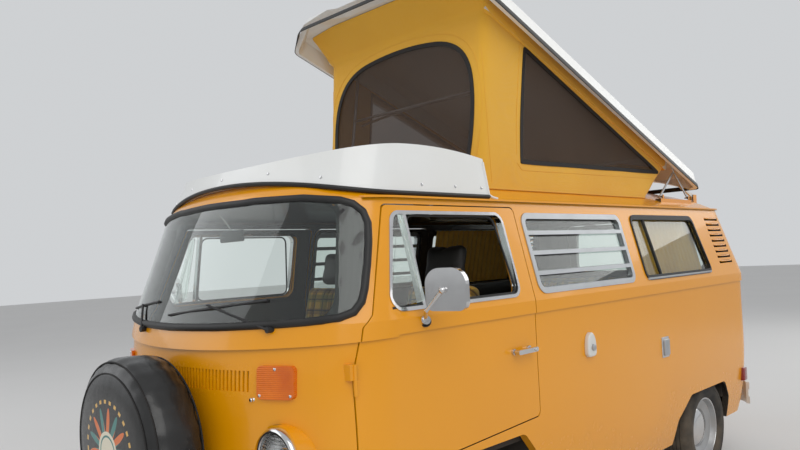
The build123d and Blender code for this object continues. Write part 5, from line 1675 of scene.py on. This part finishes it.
@dataclass
class FlankTrim:
    """Window channels, mirrors' glass, handles, hatches, sills, lamps and louvre blades."""

    handle_out: float = 858
    handle_height: float = 1103
    louvre_front: float = 2694
    louvre_low: float = 1412
    louvre_pitch: float = 37
    louvres: int = 9

    def window_line(self, corners: Sequence[Point], side: int, depth: float) -> list[Vector]:
        """A side window's outline on the skin, sunk by a depth in millimetres."""
        return [spot(side * (flank(z) - depth), y, z) for y, z in filleted(corners, 42)]

    def glass_channels(self) -> None:
        """Black felt channels in the door windows, on each door."""
        for side, word in ((1, "left"), (-1, "right")):
            line = self.window_line([(-292, 1696), (262, 1696), (311, 1357), (-292, 1357)], side, 8)
            settle(piping("window_felt_" + word, line, 0.0045, closed=True), "front_door_" + word, RUBBER)
            low = [spot(side * (flank(1352) - 4), y, 1352) for y in (-470, -200, 80, 318)]
            settle(piping("window_wiper_" + word, low, 0.006), "front_door_" + word, RUBBER)

    def mirror_glass(self) -> None:
        """The silvered side of each door mirror, and the grommet at its foot."""
        for side, word in ((1, "left"), (-1, "right")):
            points = rounded([(-66, -58), (66, -58), (66, 58), (-66, 58)], 2)
            turn = Matrix.Rotation(side * math.radians(10), 4, "Z")
            centre = spot(side * 1000, -340, 1412)
            places = [centre + turn @ Vector((a / 1000, 0.0138, b / 1000)) for a, b in points]
            glass = panel("mirror_glass_" + word, places)
            modify(glass, "SOLIDIFY", thickness=0.001, offset=0)
            settle(glass, "front_door_" + word, CHROME)
            foot = spot(side * 862, -314, 1292)
            way = Vector((side * 0.75, -0.45, 0.3))
            rim = [
                (0.002, 0.0175), (0.006, 0.021), (0.002, 0.024), (-0.004, 0.023), (-0.004, 0.0175),
                (0.002, 0.0175),
            ]
            settle(turned("mirror_grommet_" + word, rim, foot, way, 28), "front_door_" + word, RUBBER)

    def handles(self) -> None:
        """Push button and escutcheons of the door handles, and the sliding door's handle."""
        for side, word in ((1, "left"), (-1, "right")):
            made = []
            for y, radius in ((246, 0.0135), (358, 0.0155)):
                at = spot(side * self.handle_out, y, self.handle_height)
                rim = [
                    (0.002, 0), (0.002, radius * 0.7), (0.0045, radius), (-0.006, radius + 0.001),
                    (-0.006, 0),
                ]
                made.append(turned("rose", rim, at, Vector((side, 0, 0)), 28))
            push = [(0.045, 0), (0.045, 0.006), (0.043, 0.0075), (0.03, 0.0075), (0.03, 0)]
            at = spot(side * self.handle_out, 354, self.handle_height)
            button = turned("button", push, at, Vector((side, 0, 0)), 20)
            settle(joined("handle_roses_" + word, [*made, button]), "front_door_" + word, CHROME)
        grip = ((560, 0), (566, 22), (600, 30), (660, 30), (694, 22), (700, 0))
        line = [spot(-868 - out, y, self.handle_height) for y, out in grip]
        settle(piping("slide_handle", line, 0.009, sides=3), "body", CHROME)

    def hatches(self) -> None:
        """The arched water hatch and the mains socket's lid on the left."""
        inward = Vector((-1, 0, 0))
        arch = [
            (840, 1002), (840, 1060), (848, 1095), (864, 1115), (880, 1121), (896, 1115), (912, 1095),
            (920, 1060), (920, 1002), (880, 998),
        ]
        outer = [touch("side_panel_left", spot(1000, y, z), inward) for y, z in rounded(arch, 1)]
        plate = panel("water_hatch", outer)
        with shaping(plate):
            bpy.ops.mesh.select_all(action="SELECT")
            bpy.ops.mesh.extrude_region_move(TRANSFORM_OT_translate={"value": (0.019, 0, 0)})
            bpy.ops.mesh.inset(thickness=0.007)
            bpy.ops.transform.translate(value=(0.006, 0, 0))
        outward(plate)
        modify(plate, "BEVEL", width=0.0025, segments=2, limit_method="ANGLE")
        settle(plate, "body", WHITE_PAINT, 40, ["side_inlets"])
        cap = [(0.034, 0), (0.034, 0.012), (0.031, 0.016), (0.024, 0.017), (0.02, 0.017), (0.02, 0)]
        hub = turned("water_cap", cap, spot(857, 880, 1046), Vector((1, 0, 0)), 28)
        settle(hub, "body", ALLOY)
        skin = touch("side_panel_left", spot(1000, 1745, 940), inward).x * 1000
        surround = block("socket_frame", spot(skin - 4, 1700, 880), spot(skin + 6, 1790, 1000), 0.004)
        lid = block("socket_lid", spot(skin + 4, 1712, 892), spot(skin + 17, 1778, 986), 0.005, 3)
        settle(surround, "body", CHROME)
        settle(lid, "body", ALLOY)

    def rear_window_sills(self) -> None:
        """Grey sills at the foot of the rear side windows, and the sliding door's outer rail."""
        for side, word in ((1, "left"), (-1, "right")):
            inner, outer = side * (flank(1344) - 6), side * (flank(1344) + 9)
            low, high = spot(min(inner, outer), 1572, 1341), spot(max(inner, outer), 2496, 1353)
            settle(block("window_sill_" + word, low, high, 0.003), "body", ALLOY)
        rail = block("slide_rail", spot(-872, 1520, 1284), spot(-848, 2700, 1310), 0.008, 3)
        settle(rail, "body", BODY_PLAIN)

    def louvre_blades(self) -> None:
        """A turned-out lip over each intake slot."""
        lip = ((4, 1, 1), (30, 9, 5), (115, 11, 6), (200, 9, 5), (226, 1, 1))
        for side, word in ((1, "left"), (-1, "right")):
            blades = []
            for index in range(self.louvres):
                z = self.louvre_low + index * self.louvre_pitch
                y = self.louvre_front - index * 6
                line = [spot(side * (flank(z) - 5 + push), y + along, z - drop) for along, push, drop in lip]
                blades.append(piping(f"blade_{index}", line, 0.004, sides=2))
            settle(joined("louvre_blades_" + word, blades), "body", BODY_PLAIN)

    def side_lamps(self) -> None:
        """The small red lamp low on each rear corner."""
        for side, word in ((1, "left"), (-1, "right")):
            inner, outer = side * 826, side * 867
            low, high = spot(min(inner, outer), 2972, 548), spot(max(inner, outer), 3032, 640)
            settle(block("side_marker_" + word, low, high, 0.008, 3), "body", RED_LENS)

    def build(self) -> None:
        """Makes the flanks' trim."""
        self.glass_channels()
        self.mirror_glass()
        self.handles()
        self.rear_window_sills()
        self.louvre_blades()
        self.side_lamps()
        self.hatches()


@dataclass
class Screen:
    """The wide curved windscreen, its rubber and a dark band of painted shade over the pillars under the
    glass, drawing millimetres.
    """

    rubber: tuple[Point, ...] = (
        (0, 1306), (300, 1310), (575, 1320), (720, 1328), (768, 1334), (798, 1350), (805, 1385), (799, 1432),
        (783, 1515), (765, 1598), (747, 1668), (727, 1713), (699, 1743), (662, 1759), (526, 1778),
        (290, 1786),
        (0, 1790),
    )
    opening: tuple[Point, ...] = (
        (0, 1292), (300, 1296), (560, 1306), (680, 1313), (722, 1330), (745, 1358), (752, 1400), (676, 1716),
        (656, 1738), (622, 1753), (560, 1764), (300, 1784), (0, 1792),
    )
    depths: tuple[tuple[str, float], ...] = (
        ("nose_panel", 0.0), ("roof_panel", 0.0), ("windscreen", 12.0), ("window_seals", -7.0),
    )
    cuts: tuple[float, ...] = (
        -790, -775, -755, -730, -700, -660, *range(-600, 601, 75), 660, 700, 730, 755, 775, 790,
    )
    middle: Point = (0, 1540)
    rings: int = 5
    rays: int = 144
    glass_proud: float = 2.6
    shade_band_proud: float = 1.3
    rubber_radius: float = 0.0155

    def skin(self, x: float, z: float, proud: float) -> Vector:
        """A point over the nose's outer skin, met level from ahead.

        Args:
            x: across, drawing millimetres.
            z: up, drawing millimetres.
            proud: how far the point stands off the skin, in millimetres.

        Returns:
            The foremost such point over the body, the CAD glass and its seal.
        """
        best = None
        for node, depth in self.depths:
            hit, place, normal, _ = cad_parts[node].ray_cast(spot(x, -1500, z), Vector((0, 1, 0)))
            if hit and normal.y < -0.05:
                place = place + normal * (depth + proud) / 1000
                if best is None or place.y < best.y:
                    best = place
        return best

    def whole(self, half: Sequence[Point]) -> list[Point]:
        """A left half outline, from the foot's middle to the top's, with its mirror image."""
        return [*half, *[(-x, z) for x, z in reversed(half[1:-1])]]

    def reach(self, outline: Sequence[Point], angle: float) -> float:
        """How far an outline lies from the middle in one direction.

        Args:
            outline: the outline.
            angle: the direction.

        Returns:
            The distance in millimetres.
        """
        way = Vector((math.cos(angle), math.sin(angle)))
        for a, b in zip(outline, [*outline[1:], outline[0]]):
            near, far = Vector(a) - Vector(self.middle), Vector(b) - Vector(self.middle)
            turn_near, turn_far = way.cross(near), way.cross(far)
            if turn_near * turn_far <= 0 and turn_near != turn_far:
                place = near.lerp(far, turn_near / (turn_near - turn_far))
                if place.dot(way) > 0:
                    return place.dot(way)
        return 0.0

    def ring(self, share: float, proud: float) -> list[Vector]:
        """A ring between the opening and the rubber, laid over the skin.

        Args:
            share: 0 at one edge and 1 at the other.
            proud: how far it stands off the skin.

        Returns:
            The ring.
        """
        outer, inner = self.whole(self.rubber), self.whole(self.opening)
        places = []
        for step in range(self.rays):
            angle = 2 * math.pi * (step + 0.5) / self.rays
            low = self.reach(inner, angle) - 9
            far = low + share * max(1.0, self.reach(outer, angle) - low)
            places.append(self.skin(far * math.cos(angle), self.middle[1] + far * math.sin(angle), proud))
        return places

    def build(self) -> None:
        """Makes the glass, the band of painted shade, the rubber and the rear side windows' rubbers and
        dividers.
        """
        # painted shade: a dark band on the pillars between the opening and the rubber, so that they look like
        # the dim cab seen through glass
        bands = []
        for step in range(self.rings):
            far = self.ring((step + 1) / self.rings, self.shade_band_proud)
            near = self.ring(step / self.rings, self.shade_band_proud)
            bands.append(banded("pillar_shade_band", far, near, 0.0009))
        settle(joined("windscreen_shade_band", bands), "body", PLASTIC)
        line = [self.skin(x, z, 1.0) for x, z in dense(self.whole(self.rubber), 45)]
        glass = panel("windscreen_glass", [spot(x, -1500, z) for x, z in self.whole(self.rubber)])
        with shaping(glass):
            for x in self.cuts:
                bpy.ops.mesh.select_all(action="SELECT")
                bpy.ops.mesh.bisect(plane_co=(x / 1000, 0, 0), plane_no=(1, 0, 0))
            for z in range(1340, 1780, 60):
                bpy.ops.mesh.select_all(action="SELECT")
                bpy.ops.mesh.bisect(plane_co=(0, 0, z / 1000), plane_no=(0, 0, 1))
        for vertex in glass.data.vertices:
            vertex.co = self.skin(vertex.co.x * 1000, vertex.co.z * 1000, self.glass_proud)
        glass.data.update()
        faced(glass, Vector((0, 0, 1.5)))
        modify(glass, "SOLIDIFY", thickness=0.0014, offset=1)
        settle(glass, "body", GLASS, 60, ["windscreen"])
        rubbers = [piping("windscreen_rubber", line, self.rubber_radius, closed=True, sides=3)]
        corners = [(1547, 1716), (2417, 1716), (2520, 1338), (1559, 1338)]
        outer, inner = filleted(corners, 55), filleted(shifted(corners, -30), 30)
        for side in (-1, 1):
            rings = [[spot(side * (flank(z) + 1), y, z) for y, z in ring] for ring in (outer, inner)]
            rubbers.append(banded("rear_window_seal", rings[0], rings[1], 0.012))
            bar = [spot(side * (flank(z) - 3), y, z) for y, z in ((1712, 1706), (1763, 1346))]
            rubbers.append(piping("vent_divider", bar, 0.0095))
        settle(joined("window_rubbers", rubbers), "body", RUBBER, 60, ["window_seals"])


@dataclass
class TailTrim:
    """Rear window rubber, lamp frames, blank plate and knobs, drawing millimetres."""

    beyond: float = 3500
    window: tuple[Point, ...] = ((-480, 1690), (480, 1690), (560, 1345), (-560, 1345))
    lamp: tuple[Point, ...] = ((646, 606), (738, 606), (738, 844), (646, 844))

    def met(self, node: str, x: float, z: float) -> Vector | None:
        """Where a piece is met from behind, or nothing where the line misses it."""
        start = spot(x, self.beyond, z)
        at = touch(node, start, Vector((0, -1, 0)))
        return at if at.y < start.y - 0.01 else None

    def traced(self, node: str, outline: Sequence[Point]) -> list[Vector]:
        """An outline laid on a piece from behind, without the points that miss it."""
        return [at for at in (self.met(node, x, z) for x, z in outline) if at is not None]

    def frames(self) -> None:
        """The rear window's rubber and the bright frames round the lamps."""
        edge = dense(shifted(filleted(self.window, 55), 11), 60)
        rubber = piping("rear_window_rubber", self.traced("tailgate", edge), 0.012, closed=True)
        settle(rubber, "tailgate", RUBBER)
        rings = []
        for side in (-1, 1):
            edge = [(side * x, z) for x, z in dense(filleted(self.lamp, 26), 30)]
            rings.append(piping("lamp_frame", self.traced("tail_lamps", edge), 0.005, closed=True))
        settle(joined("rear_lamp_frames", rings), "body", CHROME)

    def plate(self) -> None:
        """The blank plate and its lamp on the engine lid."""
        y = self.met("engine_lid", 0, 760).y * 1000 + FRONT_AXLE
        plate = block("blank_plate", spot(-170, y - 2, 680), spot(170, y + 6, 840), 0.002)
        settle(plate, "engine_lid", WHITE_PAINT)
        shade = block("plate_lamp", spot(-75, y - 6, 872), spot(75, y + 32, 908), 0.01, 3)
        settle(shade, "engine_lid", BODY_PLAIN)

    def build(self) -> None:
        """Makes the tail's trim."""
        self.frames()
        self.plate()
        knob = [
            (0.024, 0), (0.024, 0.010), (0.020, 0.014), (0.008, 0.010), (0.003, 0.018), (-0.004, 0.020),
            (-0.004, 0),
        ]
        for name, node, z in (("lid_knob", "engine_lid", 640), ("hatch_knob", "tailgate", 1080)):
            settle(turned(name, knob, self.met(node, 0, z), Vector((0, 1, 0)), 28), node, CHROME)


@dataclass
class Studio:
    """Camera, floor and soft light."""

    camera: Vector = spot(2660, -2264, 1524)
    yaw: float = math.radians(44.45)
    pitch: float = math.radians(0.18)
    roll: float = math.radians(-2.95)
    focal: float = 31.8
    shift: float = 0.0414

    def take_photo_view(self) -> None:
        """Puts the camera where the photograph was taken."""
        level = Vector((math.cos(self.yaw), math.sin(self.yaw), 0))
        forward = Vector((-math.sin(self.yaw), math.cos(self.yaw), 0))
        ahead = forward * math.cos(self.pitch) + Vector((0, 0, math.sin(self.pitch)))
        above = level.cross(ahead)
        right = level * math.cos(self.roll) + above * math.sin(self.roll)
        up = -level * math.sin(self.roll) + above * math.cos(self.roll)
        lens = bpy.data.cameras.new("photo_camera")
        lens.lens, lens.sensor_width, lens.shift_y, lens.clip_end = self.focal, 36, self.shift, 200
        seat = bpy.data.objects.new("photo_camera", lens)
        bpy.context.scene.collection.objects.link(seat)
        turn = Matrix((right, up, -ahead)).transposed().to_4x4()
        seat.matrix_world = Matrix.Translation(self.camera) @ turn
        bpy.context.scene.camera = seat

    def backdrop(
        self, tree: bpy.types.NodeTree, lit: bpy.types.Node, pale: bpy.types.Node, out: Socket
    ) -> None:
        """Shows the pale colour to the camera, to gloss and through glass, and the lit one to the rest.

        Args:
            tree: the world's tree.
            lit: the background that lights the van.
            pale: the background that is seen.
            out: the world's surface input.
        """
        rays = tree.nodes.new("ShaderNodeLightPath")
        seen = tree.nodes.new("ShaderNodeMath")
        seen.operation = "MAXIMUM"
        both = tree.nodes.new("ShaderNodeMath")
        both.operation = "MAXIMUM"
        tree.links.new(rays.outputs["Is Camera Ray"], seen.inputs[0])
        tree.links.new(rays.outputs["Is Glossy Ray"], seen.inputs[1])
        tree.links.new(seen.outputs[0], both.inputs[0])
        tree.links.new(rays.outputs["Is Transmission Ray"], both.inputs[1])
        blend = tree.nodes.new("ShaderNodeMixShader")
        tree.links.new(both.outputs[0], blend.inputs[0])
        tree.links.new(lit.outputs[0], blend.inputs[1])
        tree.links.new(pale.outputs[0], blend.inputs[2])
        tree.links.new(blend.outputs[0], out)

    def world(self) -> None:
        """An even pale surround."""
        world = bpy.data.worlds.new("studio")
        world.use_nodes = True
        tree = world.node_tree
        lit = tree.nodes["Background"]
        lit.inputs["Color"].default_value = (0.97, 0.98, 1.0, 1)
        lit.inputs["Strength"].default_value = 0.52
        pale = tree.nodes.new("ShaderNodeBackground")
        pale.inputs["Color"].default_value = (0.62, 0.635, 0.65, 1)
        pale.inputs["Strength"].default_value = 1.0
        self.backdrop(tree, lit, pale, tree.nodes["World Output"].inputs["Surface"])
        bpy.context.scene.world = world

    def floor(self) -> None:
        """A wide pale floor."""
        clear_selection()
        bpy.ops.mesh.primitive_plane_add(size=90, location=(0, 0, 0))
        floor = named("studio_floor")
        made = bpy.data.materials.new("studio_floor")
        made.use_nodes = True
        shader = made.node_tree.nodes["Principled BSDF"]
        sketch = Sketch(made.node_tree)
        tone = sketch.mix(sketch.noise(0.4, 2), (0.72, 0.72, 0.71, 1), (0.76, 0.76, 0.755, 1))
        made.node_tree.links.new(tone, shader.inputs["Base Color"])
        shader.inputs["Roughness"].default_value = 0.9
        shader.inputs["Specular IOR Level"].default_value = 0.1
        floor.data.materials.append(made)

    def lamp(self, name: str, place: Vector, size: float, power: float, tone: Sequence[float]) -> None:
        """A square soft lamp aimed at the van.

        Args:
            name: the lamp's name.
            place: where it hangs.
            size: its width in metres.
            power: its watts.
            tone: its colour.
        """
        light = bpy.data.lights.new(name, "AREA")
        light.size, light.energy, light.color = size, power, tone
        holder = bpy.data.objects.new(name, light)
        bpy.context.scene.collection.objects.link(holder)
        holder.location = place
        holder.rotation_euler = (Vector((0, 0, 1.2)) - place).to_track_quat("-Z", "Y").to_euler()

    def build(self) -> None:
        """Sets the stage."""
        self.take_photo_view()
        self.world()
        self.floor()
        self.lamp("key", Vector((8.5, -5.5, 8.5)), 10.0, 560, (1.0, 0.985, 0.96))
        self.lamp("fill", Vector((-7.0, -7.0, 6.0)), 8.0, 190, (0.97, 0.98, 1.0))
        self.lamp("rear", Vector((3.0, 9.0, 6.5)), 7.0, 190, (1.0, 0.99, 0.97))
        bpy.context.scene.view_settings.view_transform = "Standard"


def main() -> None:
    """Builds the sub-assemblies in order."""
    logging.basicConfig(level=logging.INFO, format="%(name)s: %(message)s")
    Studio().build()
    dress_frame()
    for assembly in (
        CanvasTent(), PopTopTrim(), TrayTrim(), NoseTrim(), SpareCover(), Screen(), FlankTrim(), TailTrim(),
        RoadWheels(), CabInterior(), Curtains(),
    ):
        LOG.info("building %s", type(assembly).__name__)
        assembly.build()


if __name__ == "__main__":
    main()
